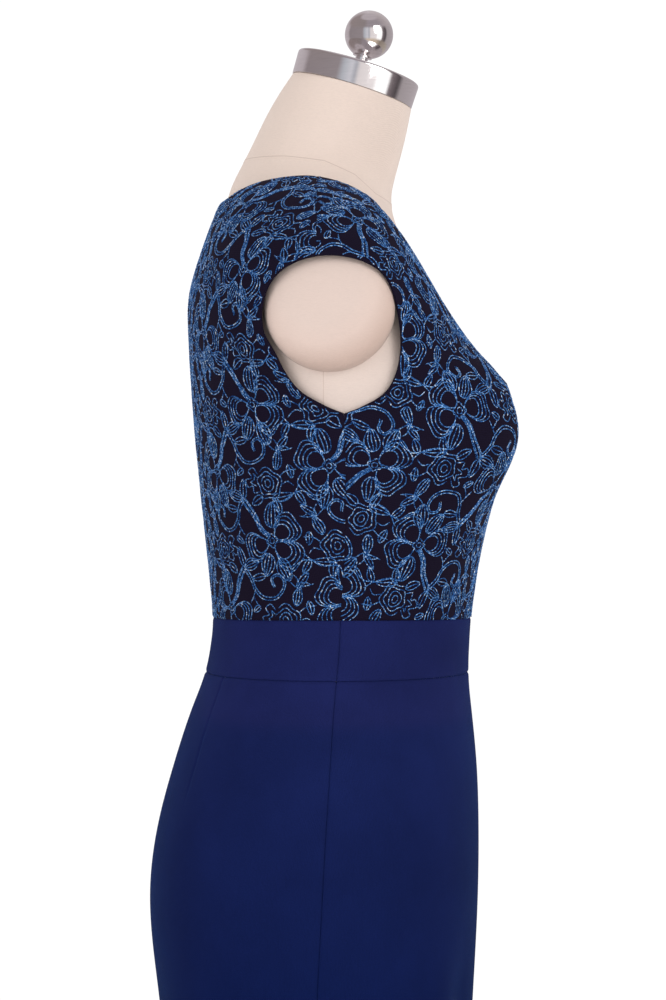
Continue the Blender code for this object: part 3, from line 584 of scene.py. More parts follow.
def form_levels():
    """Rows of the form: rings of the dress up to the underarm, then a spline through its own."""
    take_in = CLOTH + FORM_EASE
    heights = np.append(LOW_ROWS, UNDERARM)
    at_ring = np.array([r.side_z for r in RINGS])
    table = np.array([[r.half_width, r.side_y, r.side_z, *r[3:]] for r in RINGS])
    low = spline(at_ring, table, heights)
    low = np.stack([
        low[:, 0] - take_in, low[:, 1], heights, low[:, 4] + take_in, low[:, 3],
        low[:, 6] - take_in, low[:, 5], low[:, 7], low[:, 8],
    ], axis=1)
    own = np.array([[*r.side, *r[1:]] for r in FORM_ROWS])
    known = np.concatenate([low[-1:], own])
    travel = np.concatenate([[0.0], np.cumsum(
        np.linalg.norm(np.diff(known[:, :7], axis=0), axis=1) / math.sqrt(3.0)
    )])
    high = spline(travel, known, np.linspace(0.0, travel[-1], HIGH_ROWS)[1:])
    return np.concatenate([low, high])


def form_rings(steps=36):
    """Bezier quarters side by side: left front, left back, and their mirror images."""
    levels = form_levels()
    s = np.linspace(0.0, 1.0, steps)[None, :, None]
    side, quarters = levels[:, None, 0:3], []
    for y, z, full in ((3, 4, 7), (5, 6, 8)):
        centre = np.stack([levels[:, 0] * 0, levels[:, y], levels[:, z]], axis=1)[:, None]
        fullness = levels[:, full][:, None, None]
        near = centre + fullness * side * np.array([1.0, 0.0, 0.0])
        far = side + fullness * (centre - side) * np.array([0.0, 1.0, 0.0])
        quarters.append(bezier(centre, near, far, side, s))
    front, back = quarters
    front[..., 1] -= cup_depth(front, s[..., 0]) * FORM_CUP_SHARE
    half = np.concatenate([front, back[:, -2::-1]], axis=1)
    mirror = half[:, -2:0:-1] * np.array([-1.0, 1.0, 1.0])
    return np.concatenate([half, mirror], axis=1)


rings = form_rings()
print("the form has", rings.shape[0], "rings of", rings.shape[1], "points")

# %% [markdown]
# ## Turned parts
#
# The cap, the ball, the pole and the base are turned on a lathe, and so are the domed arm
# stubs in effect. Each is a profile of (radius, height) pairs spun round an axis. A profile can
# round its own corners, which is cheaper than a bevel and gives the steel a clean highlight.
# %% Helper: turned parts
def rounded(profile, radius, steps=4):
    """Replaces each inner corner of a profile by an arc of points (a quadratic Bezier)."""
    points = [np.array(p, float) for p in profile]
    out = [points[0]]
    for before, here, after in zip(points, points[1:], points[2:]):
        back, ahead = before - here, after - here
        reach = min(radius, np.linalg.norm(back) * 0.45, np.linalg.norm(ahead) * 0.45)
        start = here + back / np.linalg.norm(back) * reach
        end = here + ahead / np.linalg.norm(ahead) * reach
        for t in np.linspace(0.0, 1.0, steps + 1):
            out.append(start * (1 - t) ** 2 + here * 2 * t * (1 - t) + end * t * t)
    return np.array(out + [points[-1]])


def ring_faces(rows, columns):
    """Quads between closed rings of points, and a fan at each end round one more point."""
    n = np.arange(rows * columns).reshape(rows, columns)
    m = np.roll(n, -1, axis=1)
    quads = np.stack([n[:-1], m[:-1], m[1:], n[1:]], axis=-1).reshape(-1, 4).tolist()
    low, high = rows * columns, rows * columns + 1
    return (quads + [(low, b, a) for a, b in zip(n[0].tolist(), m[0].tolist())]
            + [(high, a, b) for a, b in zip(n[-1].tolist(), m[-1].tolist())])


def turned(name, profile, seat, finish, sides=96):
    """Points (r cos a, r sin a, h) carried by seat. The profile starts and ends on the axis."""
    profile = np.asarray(profile, float)
    angles = 2.0 * math.pi * np.arange(sides) / sides
    r, h = profile[1:-1, 0][:, None], profile[1:-1, 1][:, None]
    ring = np.stack([r * np.cos(angles), r * np.sin(angles), h + 0.0 * angles], axis=-1)
    ends = np.array([[0.0, 0.0, profile[0, 1]], [0.0, 0.0, profile[-1, 1]]])
    grid = np.array(seat)
    points = np.concatenate([ring.reshape(-1, 3), ends]) @ grid[:3, :3].T + grid[:3, 3]
    return new_mesh(name, points * MM, ring_faces(len(ring), sides), finish=finish)


def dome(radius, low, rise, flatness, steps=26):
    """A flattened half ellipse from the rim to the axis: radius x cos^f a, rise x sin^f a."""
    a = np.linspace(0.0, math.pi / 2.0, steps + 1)[:-1]
    out, up = radius * np.cos(a) ** flatness, low + rise * np.sin(a) ** flatness
    return [*zip(out.tolist(), up.tolist()), (0.0, low + rise)]


ARM_AXIS = {
    side: Matrix.Translation(Vector((side * STUB_ROOT, STUB_Y, STUB_Z)))
    @ Matrix.Rotation(side * math.pi / 2.0, 4, "Y")
    for side in (1, -1)
}
SEAT = Matrix.Translation(Vector(NECK_TOP)) @ Matrix.Rotation(NECK_LEAN, 4, "X")
UPRIGHT = Matrix.Identity(4)
print("the neck leans", round(math.degrees(NECK_LEAN)), "degrees forward")

# %% [markdown]
# ## Materials
#
# Every finish is a node material: a Principled shader whose colour, roughness and bump come
# from noise in the object's own coordinates or in the flat pattern's UV. A small helper adds
# one node at a time and wires it, so a material reads from top to bottom.
# %% Helper: node materials
class Nodes:
    """Adds nodes to a tree, one at a time."""

    def __init__(self, tree):
        self.tree = tree

    def add(self, kind, *settings, **inputs):
        """kind is the node's type; settings are (attribute, value); inputs name sockets."""
        node = self.tree.nodes.new("ShaderNode" + kind)
        for attribute, value in settings:
            setattr(node, attribute, value)
        for socket, value in inputs.items():
            number = socket[1:]
            key = int(number) if number.isdigit() else socket.replace("_", " ")
            if isinstance(value, bpy.types.NodeSocket):
                self.tree.links.new(value, node.inputs[key])
            else:
                node.inputs[key].default_value = value
        return node

    def ramp(self, factor, *stops):
        """Blends between the stops, each a place from 0 to 1 and a colour."""
        node = self.add("ValToRGB", Fac=factor)
        for element, (position, colour) in zip(node.color_ramp.elements, (stops[0], stops[-1])):
            element.position, element.color = position, (*colour, 1.0)
        for position, colour in stops[1:-1]:
            node.color_ramp.elements.new(position).color = (*colour, 1.0)
        return node.outputs["Color"]

    def math(self, operation, a, b):
        return self.add("Math", ("operation", operation), _0=a, _1=b).outputs[0]

    def mean(self, a, b):
        return self.math("MULTIPLY", self.math("ADD", a, b), 0.5)

    def times(self, colour, tint):
        """Two colours multiplied, channel by channel."""
        return self.add("Mix", ("data_type", "RGBA"), ("blend_type", "MULTIPLY"),
                        _0=1.0, _6=colour, _7=tint).outputs[2]


class Wiring(Nodes):
    """A new material with a Principled shader."""

    def __init__(self, name, **shader):
        self.material = bpy.data.materials.new(name)
        self.material.use_nodes = True
        super().__init__(self.material.node_tree)
        self.shader = self.tree.nodes["Principled BSDF"]
        for socket, value in shader.items():
            self.shader.inputs[socket.replace("_", " ")].default_value = value
        self.coords = self.tree.nodes.new("ShaderNodeTexCoord")

    def noise(self, where, scale, detail=3.0, roughness=0.6, stretch=(1.0, 1.0, 1.0)):
        mapped = self.add("Mapping", Vector=self.coords.outputs[where], Scale=stretch)
        return self.add(
            "TexNoise", Vector=mapped.outputs[0], Scale=scale, Detail=detail, Roughness=roughness
        ).outputs["Fac"]

    def bump(self, height, distance, strength=1.0, under=None):
        extra = {} if under is None else {"Normal": under}
        return self.add(
            "Bump", Height=height, Distance=distance, Strength=strength, **extra
        ).outputs["Normal"]

    def set(self, **links):
        for socket, output in links.items():
            self.tree.links.new(output, self.shader.inputs[socket.replace("_", " ")])
        return self.material


def shades(colour, *factors):
    """The colour made darker or lighter by each factor."""
    return [tuple(min(c * f, 1.0) for c in colour) for f in factors]


STITCHES = 330.0  # changes of tone along a metre of cord


def double_knit(name, colour):
    """Fine ribs of stitches, a wave pattern in UV, with cloudy colour over them. A ramp over
    height multiplies the colour: painted shade that darkens the knit from the waistband down."""
    w = Wiring(name, Roughness=0.8, Sheen_Weight=0.11, Sheen_Roughness=0.25,
               Sheen_Tint=(0.04, 0.34, 1.0, 1.0), Specular_IOR_Level=0.03)
    cloud = w.noise("Object", 14.0, 4.0)
    fleck = w.noise("UV", 900.0, 2.0, 0.7)
    dark, light, high = shades(colour, 0.86, 1.0, 1.16)
    base = w.ramp(w.mean(cloud, fleck), (0.38, dark), (0.5, light), (0.62, high))
    height = w.add("SeparateXYZ", Vector=w.coords.outputs["Object"]).outputs["Z"]
    # painted shade: the colour is multiplied darker from the waistband towards the hem
    painted_shade_by_height = w.ramp(height, (0.77, (0.31, 0.58, 0.73)), (0.99, (0.72, 0.88, 0.93)),
                  (1.03, (1.0, 0.96, 0.98)))
    mapped = w.add("Mapping", Vector=w.coords.outputs["UV"], Scale=(1.0, 0.6, 1.0))
    wales = w.add("TexWave", ("bands_direction", "X"), Vector=mapped.outputs[0], Scale=260.0,
                  Distortion=1.2, Detail=1.0, Detail_Scale=2.0).outputs["Fac"]
    grain = w.bump(w.math("ADD", wales, fleck), 0.00018, 0.55)
    slack = w.bump(w.noise("Object", 22.0, 2.0), 0.0012, 0.25, grain)
    return w.set(Base_Color=w.times(base, painted_shade_by_height), Normal=slack)


def lace_ground():
    """Dark backing cloth under a net of hexagonal holes, from a distance-to-edge Voronoi."""
    w = Wiring("lace_ground", Roughness=0.75, Specular_IOR_Level=0.04, Sheen_Weight=0.02,
               Sheen_Roughness=0.5, Sheen_Tint=(0.6, 0.5, 0.8, 1.0))
    mapped = w.add("Mapping", Vector=w.coords.outputs["UV"], Scale=(1.0, 0.87, 1.0))
    net = w.add("TexVoronoi", ("feature", "DISTANCE_TO_EDGE"), ("voronoi_dimensions", "2D"),
                Vector=mapped.outputs[0], Scale=720.0, Randomness=0.25).outputs["Distance"]
    colour = w.ramp(net, (0.03, (0.0098, 0.0068, 0.0195)), (0.16, (0.0072, 0.0048, 0.0135)))
    grain = w.bump(w.math("SUBTRACT", 1.0, net), 0.0003, 0.5)
    return w.set(Base_Color=colour, Normal=w.bump(w.noise("UV", 60.0), 0.0006, 0.3, grain))


def metallic_thread():
    """Blue yarn wound with tinsel. Its stretches of light and dark, partly the yarn's own colour
    and partly painted highlight, follow the cord: a noise in the UV, whose first coordinate runs
    along the cord. A fine grain decides which bits glint, as painted glints: white at the ramp's
    top."""
    w = Wiring("metallic_thread", Metallic=0.35, Sheen_Weight=0.08, Sheen_Roughness=0.4,
               Sheen_Tint=(0.05, 0.4, 1.0, 1.0), Specular_IOR_Level=0.05)
    grain = w.noise("Object", 1100.0, 2.0, 0.75)
    twist = w.noise("UV", STITCHES, 2.0, 0.6)
    tone = w.math("ADD", w.math("MULTIPLY", grain, 0.62), w.math("MULTIPLY", twist, 0.38))
    # painted highlight: the top stops, up to white, are glints painted into the base colour
    colour = w.ramp(tone, (0.42, (0.003, 0.014, 0.075)), (0.475, (0.012, 0.080, 0.31)),
                    (0.54, (0.080, 0.27, 0.64)), (0.58, (0.24, 0.50, 0.84)),
                    (0.62, (1.0, 1.0, 1.0)))
    rough = w.ramp(tone, (0.40, (0.6, 0.6, 0.6)), (0.66, (0.24, 0.24, 0.24)))
    return w.set(Base_Color=colour, Roughness=rough, Normal=w.bump(tone, 0.0004, 0.8))


def linen(name, colour, shade_globe=None):
    """A close plain weave: two crossed waves, their ridges less than a millimetre apart, and
    slubs. With a third argument (height, reach, stops), painted shade changes the colour with
    the distance from the line across the body at that height: the stops run from 0 at the reach
    to 1 on the line."""
    w = Wiring(name, Roughness=0.85, Sheen_Weight=0.2, Sheen_Roughness=0.5,
               Specular_IOR_Level=0.2)
    slub = w.noise("Object", 320.0, 2.0, 0.7, (1.0, 1.0, 5.0))
    cloud = w.noise("Object", 9.0, 3.0)
    dark, mid, light = shades(colour, 0.95, 1.0, 1.03)
    base = w.ramp(w.mean(slub, cloud), (0.36, dark), (0.5, mid), (0.64, light))
    # painted shade: the colour is multiplied by a ramp of the distance from a line across the body
    if shade_globe:
        height, reach, stops = shade_globe
        place = w.add("Mapping", Vector=w.coords.outputs["Object"],
                      Location=(0.0, 0.0, -height / reach), Scale=(0.0, 1.0 / reach, 1.0 / reach))
        inner = w.add("TexGradient", ("gradient_type", "SPHERICAL"), Vector=place.outputs[0])
        base = w.times(base, w.ramp(inner.outputs["Fac"], *stops))
    across = w.add("TexWave", ("bands_direction", "Z"), Vector=w.coords.outputs["Object"],
                   Scale=520.0, Distortion=0.8, Detail=1.0).outputs["Fac"]
    down = w.add("TexWave", ("bands_direction", "DIAGONAL"), Vector=w.coords.outputs["Object"],
                 Scale=480.0, Distortion=0.8, Detail=1.0).outputs["Fac"]
    weave = w.bump(w.math("ADD", across, down), 0.00012, 0.4)
    return w.set(Base_Color=base, Normal=w.bump(slub, 0.0002, 0.3, weave))


def steel(name, colour, rough, streak):
    """Turned steel: faint rings of streaks in colour and roughness, and a few soft marks."""
    w = Wiring(name, Metallic=1.0)
    lines = w.noise("Object", 60.0, 3.0, 0.6, (1.0, 1.0, streak))
    smear = w.noise("Object", 30.0, 3.0)
    base = w.ramp(lines, (0.35, shades(colour, 0.93)[0]), (0.65, colour))
    gloss = w.ramp(w.mean(lines, smear), (0.35, (rough * 0.8,) * 3), (0.65, (rough * 1.35,) * 3))
    return w.set(Base_Color=base, Roughness=gloss, Normal=w.bump(lines, 0.00002, 0.3))


NAVY = double_knit("navy_knit", (0.0108, 0.0160, 0.084))
NET, THREAD = lace_ground(), metallic_thread()
# painted shade: the torso's linen turns a little darker and cooler with distance below the neck
NECK_SHADE_STOPS = ((0.30, (0.90, 0.91, 0.94)), (0.62, (1.0, 1.0, 1.0)))
# painted shade: the arm stubs' linen darkens towards their rims, most at the bottom
ARM_SHADE_STOPS = ((0.0, (0.75, 0.68, 0.66)), (0.26, (0.88, 0.85, 0.86)), (0.5, (0.86, 0.85, 0.87)))
COVER = linen("form_linen", (0.785, 0.65, 0.575), (1480.0 * MM, 400.0 * MM, NECK_SHADE_STOPS))
ARM_COVER = linen("form_linen_arm", (0.80, 0.655, 0.575), (1315.0 * MM, 59.0 * MM, ARM_SHADE_STOPS))
POLISHED = steel("polished_steel_turned", (0.90, 0.87, 0.87), 0.10, 30.0)
BRUSHED = steel("brushed_steel_turned", (0.66, 0.66, 0.67), 0.28, 60.0)
for name, made in PANELS.items():
    lace = name.startswith("bodice")
    made.data.materials.append(NET if lace else NAVY)
print(len(bpy.data.materials), "materials, the imported ones counted")

# %% [markdown]
# ## The form and its stand
#
# The torso's rings become one closed surface. Its neck is cut square to the lean, and each arm
# stub sinks into the side, as the padded ends of a real form are set into its cover.
# %% The form and the stand
def close_rings(name, rings, finish):
    """A closed surface over rings of points, with a middle point at both ends."""
    ends = np.stack([rings[0].mean(0), rings[-1].mean(0)])
    return new_mesh(name, np.concatenate([rings.reshape(-1, 3), ends]) * MM,
                    ring_faces(*rings.shape[:2]), finish=finish)


def rounded_foot(ring, steps=7):
    """A quarter circle under the first ring, so the bottom edge is soft."""
    hub = np.array([0.0, ring[:, 1].mean(), 0.0])
    inwards = unit((ring - hub) * np.array([1.0, 1.0, 0.0]))
    angle = (math.pi / 2.0 * (1.0 - np.arange(steps) / steps))[:, None, None]
    foot = ring - inwards * FORM_EDGE * (1.0 - np.cos(angle))
    foot[..., 2] = FORM_BOTTOM + FORM_EDGE * (1.0 - np.sin(angle[..., 0]))
    return foot


def square_neck(rings):
    """Slides every ring point above the neck's top plane down onto it, along its column."""
    up = np.array([0.0, -math.sin(NECK_LEAN), math.cos(NECK_LEAN)])
    over = (rings - np.array(NECK_TOP)) @ up
    kept = rings[(over < 0.0).all(axis=1)]
    top = rings[-1]
    low, high = (kept[-1] - NECK_TOP) @ up, (top - NECK_TOP) @ up
    share = (low / (low - high))[:, None]
    return np.concatenate([kept, (kept[-1] + (top - kept[-1]) * share)[None]])


torso = close_rings(
    "form_torso_linen", np.concatenate([rounded_foot(rings[0]), square_neck(rings)]), COVER
)
FORM_PIECES = [(torso, "form_torso", "form_cloth")]
for side, hand in ((1, "left"), (-1, "right")):
    end = dome(STUB_RADIUS, STUB_RIM - STUB_ROOT, STUB_DOME, STUB_FLATNESS)
    profile = [(0.0, 0.0), (STUB_RADIUS, 0.0), *end]
    stub = turned(f"form_arm_{hand}", profile, ARM_AXIS[side], ARM_COVER)
    FORM_PIECES.append((stub, f"form_arm_stub_{hand}", "form_cloth"))

SLIT = 0.3  # between two parts that are set together
BALL_START, STEM_EDGE, STEEL_EDGE, BASE_EDGE = -66.2, 0.3, 0.8, 2.0  # degrees; then mm
PLATE, FLANGE_RADIUS, SLEEVE_RADIUS, SLEEVE_DEPTH = 5.3, 45.0, 18.0, 40.0
SOCKET_RADIUS, SOCKET_TOP, POLE_GAP = 21.0, 44.0, 5.9
cap = turned("form_cap", rounded([
    (0.0, SLIT), (CAP_RADIUS - 0.6, SLIT), (CAP_RADIUS - 0.58, 1.0), (CAP_RADIUS, CAP_HEIGHT),
    (0.0, CAP_HEIGHT)
], CAP_EDGE), SEAT, POLISHED, 128)
foot, centre = CAP_HEIGHT + SLIT, CAP_HEIGHT + BALL_RISE
angles = np.radians(np.linspace(BALL_START, 90.0, 44)[:-1])
ball = [(BALL_RADIUS * math.cos(a), centre + BALL_RADIUS * math.sin(a)) for a in angles]
neck = ball[0][1] - 0.25
stem = rounded([
    (0.0, foot), (7.0, foot), (7.0, foot + 3.0), (4.9, foot + 4.0), (4.9, neck - 0.9),
    (7.5, neck - 0.8), (7.5, neck), (6.9, neck + 0.1), ball[0],
], STEM_EDGE)
finial = turned("form_ball", [*stem.tolist(), *ball[1:], (0.0, centre + BALL_RADIUS)], SEAT,
                POLISHED, 96)
plate_low, pole_top, bore = FORM_BOTTOM - PLATE, FORM_BOTTOM - POLE_GAP, POLE_RADIUS + SLIT
plate_top, sleeve_low, pole_foot = FORM_BOTTOM - SLIT, plate_low - SLEEVE_DEPTH, BASE_HEIGHT + SLIT
flange = turned("stand_flange_steel", rounded([
    (0.0, plate_low), (bore, plate_low), (bore, sleeve_low), (SLEEVE_RADIUS, sleeve_low),
    (SLEEVE_RADIUS, plate_low), (FLANGE_RADIUS, plate_low), (FLANGE_RADIUS, plate_top),
    (0.0, plate_top),
], STEEL_EDGE), UPRIGHT, BRUSHED)
pole = turned("stand_pole_steel", rounded([
    (0.0, pole_foot), (POLE_RADIUS, pole_foot), (POLE_RADIUS, pole_top), (0.0, pole_top)
], STEEL_EDGE), UPRIGHT, BRUSHED)
base = turned("stand_base_steel", rounded([
    (0.0, 0.0), (BASE_RADIUS, 0.0), (BASE_RADIUS, BASE_HEIGHT), (SOCKET_RADIUS, BASE_HEIGHT),
    (SOCKET_RADIUS, SOCKET_TOP), (bore, SOCKET_TOP), (bore, BASE_HEIGHT), (0.0, BASE_HEIGHT),
], BASE_EDGE), UPRIGHT, BRUSHED, 192)
FORM_PIECES += [
    (cap, "form_neck_cap", "polished_steel"), (finial, "form_finial", "polished_steel"),
    (flange, "stand_flange", "brushed_steel"), (pole, "stand_pole", "brushed_steel"),
    (base, "stand_base", "brushed_steel"),
]
for made, node, finish in FORM_PIECES:
    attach(made, "root")
    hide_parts(node)
    made.data.set_sharp_from_angle(angle=math.radians(50.0))
    print(made.name, len(made.data.polygons), "faces")

# %% [markdown]
# ## Seams of the form's cover
#
# The linen is sewn from a few pieces. One seam runs up each side and one goes round the foot of
# the neck. A pressed seam is two low swells with a narrow valley between them, and the valley
# has a darker linen: painted shade for the shadow in it. It is laid on the torso as a thin welt.
# Where it runs is given by one coordinate, and halving an interval finds the place on the ring
# or on the column that has it.
# %% The seams of the cover
WELT = np.array([(-1.9, 0.03), (-1.0, 0.24), (-0.3, 0.16), (0.3, 0.16), (1.0, 0.24), (1.9, 0.03)])
SIDE_SEAM_Y = -4.6
SEAM_ROWS, SEAM_SEARCH, NECK_SEARCH_FROM = (2.0, 60.0), 14.0, 45.0  # in rings and ring points
NECK_SEAM = [(-60.0, 1384.5), (-43.4, 1391.0), (-28.0, 1404.5), (-5.1, 1414.5), (25.0, 1419.0),
             (70.0, 1421.0)]  # y and z


def on_form(row, column):
    """A point of the torso between four ring points."""
    i = np.clip(row.astype(int), 0, len(rings) - 2)
    j = np.floor(column).astype(int)
    a, b, wide = (row - i)[..., None], (column - j)[..., None], rings.shape[1]
    return cell_mean(rings, i, j % wide, (j + 1) % wide, a, b)


def crossing(low, high, excess):
    """Where excess(t) turns positive between low and high: the interval is halved 20 times."""
    for _ in range(20):
        middle = (low + high) / 2.0
        beyond = excess(middle) > 0.0
        low, high = np.where(beyond, low, middle), np.where(beyond, middle, high)
    return low


def welt(name, points):
    """A strip of six columns on the torso, lifted by the profile along the surface normal."""
    normal = unit(np.cross(np.gradient(points, axis=0), np.gradient(points, axis=1)))
    facing = 1 if (normal[0, 0] * points[0, 0])[:2].sum() > 0.0 else -1
    lifted = points + normal * (WELT[:, 1][:, None] * facing)
    n = np.arange(len(points) * len(WELT)).reshape(-1, len(WELT))
    # the valley cell gets the darker linen, painted shade for its shadow
    for part, cells, finish in (("swells", [0, 1, 3, 4], COVER), ("valley", [2], SEAM_VALLEY_SHADE)):
        c = np.array(cells)
        quads = np.stack([n[:-1][:, c], n[1:][:, c], n[1:][:, c + 1], n[:-1][:, c + 1]], axis=-1)
        used, quads = np.unique(quads.reshape(-1, 4)[:, ::facing], return_inverse=True)
        made = new_mesh(f"{name}_{part}", lifted.reshape(-1, 3)[used] * MM,
                        quads.reshape(-1, 4), finish=finish)
        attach(made, "root")


# painted shade: a darker linen for the shadow in a seam's narrow valley
SEAM_VALLEY_SHADE = linen("linen_seam_valley_painted_shade", (0.62, 0.49, 0.43))
quarter = rings.shape[1] // 4
rows = np.linspace(*SEAM_ROWS, 90)[:, None] + 0.0 * WELT[:, 0]
column = crossing(
    np.full(rows.shape, quarter - SEAM_SEARCH), np.full(rows.shape, quarter + SEAM_SEARCH),
    lambda c: on_form(rows, c)[..., 1] - SIDE_SEAM_Y - WELT[:, 0],
)
for hand, flip in (("left", 1.0), ("right", -1.0)):
    welt(f"form_side_seam_{hand}", on_form(rows, column) * np.array([flip, 1.0, 1.0]))
around = np.linspace(0.0, rings.shape[1], 141)[:, None] + 0.0 * WELT[:, 0]
height = crossing(
    np.full(around.shape, NECK_SEARCH_FROM), np.full(around.shape, len(rings) - 2.0),
    lambda r: on_form(r, around)[..., 2] - WELT[:, 0]
    - np.interp(on_form(r, around)[..., 1], *zip(*NECK_SEAM)),
)
welt("form_neck_seam", on_form(height, around))
print("the neck seam is", round(float(np.ptp(on_form(height, around)[..., 2]))), "mm out of level")

# %% [markdown]
# ## Drawing the lace
#
# The lace repeats one flower with its stem, a scroll, a rosette and some leaves. Every other
# flower is a mirror image, half a repeat up and to the side. Each motif is a few lines: a petal
# is four loops, a bud is five lines that pinch together, and a stem is four cords side by side.
# On the real lace a machine lays these lines as cords on a net, so here too each is one cord.
# All measures are in mm, with the middle of the flower at (0, 0).
# %% Helper: lines of the motifs
LACE_SCALE, PETAL_FOOT = 0.93, 3.6
REPEAT_HALF = (57.5 * LACE_SCALE, 55.0 * LACE_SCALE)


def through(*points, steps=24):
    """A Catmull-Rom curve: cubics through all the points, level with their neighbours."""
    p = [np.array(q, float) for q in points]
    p = [2 * p[0] - p[1], *p, 2 * p[-1] - p[-2]]
    t = np.linspace(0.0, 1.0, steps, endpoint=False)[:, None]
    parts = [
        0.5 * (2 * b + (c - a) * t + (2 * a - 5 * b + 4 * c - d) * t**2
               + (3 * b - a - 3 * c + d) * t**3)
        for a, b, c, d in zip(p, p[1:], p[2:], p[3:])
    ]
    return np.concatenate([*parts, p[-2][None]])


def turn(points, degrees, centre=(0.0, 0.0)):
    """The points turned about (0, 0) and then moved to centre."""
    a = math.radians(degrees)
    grid = np.array([[math.cos(a), math.sin(a)], [-math.sin(a), math.cos(a)]])
    return points @ grid + np.array(centre)


def petal(angle, length, width, sharp, lobes, mouth):
    """A loop out along angle: (1 - cos a) / 2 outwards, sin a sideways, narrow at the foot.
    The angle mouth is left out on both sides of the foot, so that the loop stays open there."""
    a = np.linspace(mouth, 2.0 * math.pi - mouth, 64)
    out = (1.0 - np.cos(a)) / 2.0
    wave = 1.0 + lobes * np.cos(5.0 * a) * out**2
    along = PETAL_FOOT + (length - PETAL_FOOT) * out * wave
    return turn(np.stack([along, width * np.sin(a) * out**sharp * wave], axis=1), angle)


def bud(start, end, half_width, lines=5, power=0.6):
    """Lines between two points that bulge sideways by a power of sin and pinch at both ends."""
    start, end = np.array(start, float), np.array(end, float)
    t = np.linspace(0.0, 1.0, 26)
    run = end - start
    side = np.array([-run[1], run[0]]) / np.linalg.norm(run)
    swell = half_width * np.sin(math.pi * t**0.85) ** power
    return [
        start + run * t[:, None] + side * (offset * swell)[:, None]
        for offset in np.linspace(-1.0, 1.0, lines)
    ]


def ring(centre, radius, wave=0.0, lobes=5, turned=0.0, squash=1.0, part=(0.0, 360.0)):
    """A circle whose radius swells in lobes; part is the arc of it, in degrees."""
    a = np.radians(np.linspace(*part, 48))
    r = radius * (1.0 + wave * np.cos(lobes * a))
    return turn(np.stack([r * np.cos(a), r * np.sin(a) * squash], axis=1), turned, centre)


def beside_path(path, *offsets):
    """Copies of a path moved sideways. An offset may change along the path."""
    run = np.gradient(path, axis=0)
    side = unit(np.stack([-run[:, 1], run[:, 0]], axis=1))
    return [path + side * np.broadcast_to(offset, len(path))[:, None] for offset in offsets]


def flower():
    """Three open petals, three buds between them, and a ring in a square at the middle."""
    loops = [(18.6, 7.4, 0.24, 0.0, 0.0), (22.0, 10.4, 0.34, 0.0, 0.7),
             (25.2, 13.1, 0.42, 0.018, 0.95), (28.4, 15.7, 0.48, 0.032, 1.15)]
    lines = [
        petal(angle, length * size, width * size, *shape)
        for angle, size in ((33.0, 1.0), (-41.0, 1.04), (196.0, 0.98))
        for length, width, *shape in loops
    ]
    lines += bud((1.5, 10.0), (4.5, 31.0), 7.0) + bud((5.0, -14.5), (10.5, -33.0), 6.2)
    lines += bud((-3.5, -10.5), (-11.0, -28.5), 6.0)
    return lines + [ring((0, 0), 2.2), ring((0, 0), 4.8, 0.18, 4, 12.0)]


def stem_and_scroll():
    """Heavy cords. The stem is two pairs that part towards a joint. There the scroll starts, as
    two cords that close up as they curl into a hook."""
    joint = (-24.0, 33.5)
    stem = through((-1.5, 3.0), (-9.5, 11.0), (-15.0, 22.5), joint)
    scroll = through(
        joint, (-31.0, 25.0), (-34.0, 16.5), (-41.5, 9.5), (-52.0, 8.6), (-61.0, 14.0),
        (-63.5, 22.0), (-58.5, 27.6), (-52.5, 24.5), (-54.0, 17.5),
    )
    part = np.linspace(0.8, 1.9, len(stem))
    close = np.linspace(1.35, 0.7, len(scroll))
    return (beside_path(stem, -part - 0.5, -part + 0.5, part - 0.5, part + 0.5)
            + beside_path(scroll, -close, close))


def rosette_and_leaves():
    """Wavy rings, two zigzag leaves, and the buds and fine lines that tie the motifs."""
    middle = (-61.5, -9.0)
    lines = [ring(middle, 2.6, squash=1.25), ring(middle, 5.6, 0.05, 3, squash=1.15),
             ring(middle, 9.2, 0.10, 5, 20.0),
             ring(middle, 12.4, 0.10, 5, 20.0, part=(40.0, 290.0))]
    lines += [
        through((-53.5, -1.5), (-49.0, 4.0), (-43.5, 1.5), (-46.5, -3.5), (-39.5, -6.0),
                (-42.0, -12.0), (-47.0, -10.5), (-46.5, -16.5), (-53.0, -15.0)),
        through((-52.0, -4.0), (-49.0, -0.5), (-49.5, -5.0), (-45.0, -7.5), (-50.5, -10.5)),
        through((-76.5, 17.5), (-74.5, 24.0), (-72.0, 27.0)),
        through((-74.5, -10.0), (-80.0, -8.5), (-84.5, -12.5)),
        through((-73.5, -4.0), (-80.0, 0.5), (-88.0, 1.0)),
        through((-34.0, 16.5), (-31.5, 10.5), (-27.5, 5.0)),
        through((25.0, 36.5), (33.0, 38.0), (40.5, 33.5), (46.0, 27.0)),
        through((4.5, 31.0), (14.0, 31.5), (25.0, 36.5), (32.0, 44.0)),
        through((29.0, 17.5), (35.0, 20.0), (40.0, 16.5), (45.5, 10.5)),
        through((10.5, -33.0), (16.5, -38.0), (24.5, -38.0), (30.5, -36.5)),
        through((-31.5, 10.5), (-36.0, 4.0), (-38.5, 3.0)),
    ]
    for start, end, half_width, count in (
        ((-24.0, 33.5), (-41.5, 39.0), 4.6, 5), ((-24.0, 34.5), (-20.5, 50.0), 3.8, 3),
        ((-55.0, -19.0), (-43.0, -26.0), 3.4, 3), ((-66.0, -21.0), (-69.0, -34.0), 3.2, 3),
        ((-71.0, 1.5), (-76.5, 17.5), 3.8, 4), ((6.0, 33.0), (25.0, 36.5), 3.4, 3),
        ((-11.0, -28.5), (-25.5, -30.0), 3.0, 3), ((33.0, 5.5), (31.0, -6.0), 2.8, 3),
        ((27.0, 38.0), (34.0, 27.0), 2.8, 3),
        ((-38.5, 3.0), (-30.0, -2.0), 2.4, 3), ((16.5, -38.0), (28.0, -27.5), 2.8, 3),
    ):
        lines += bud(start, end, half_width, count, 0.7)
    return lines


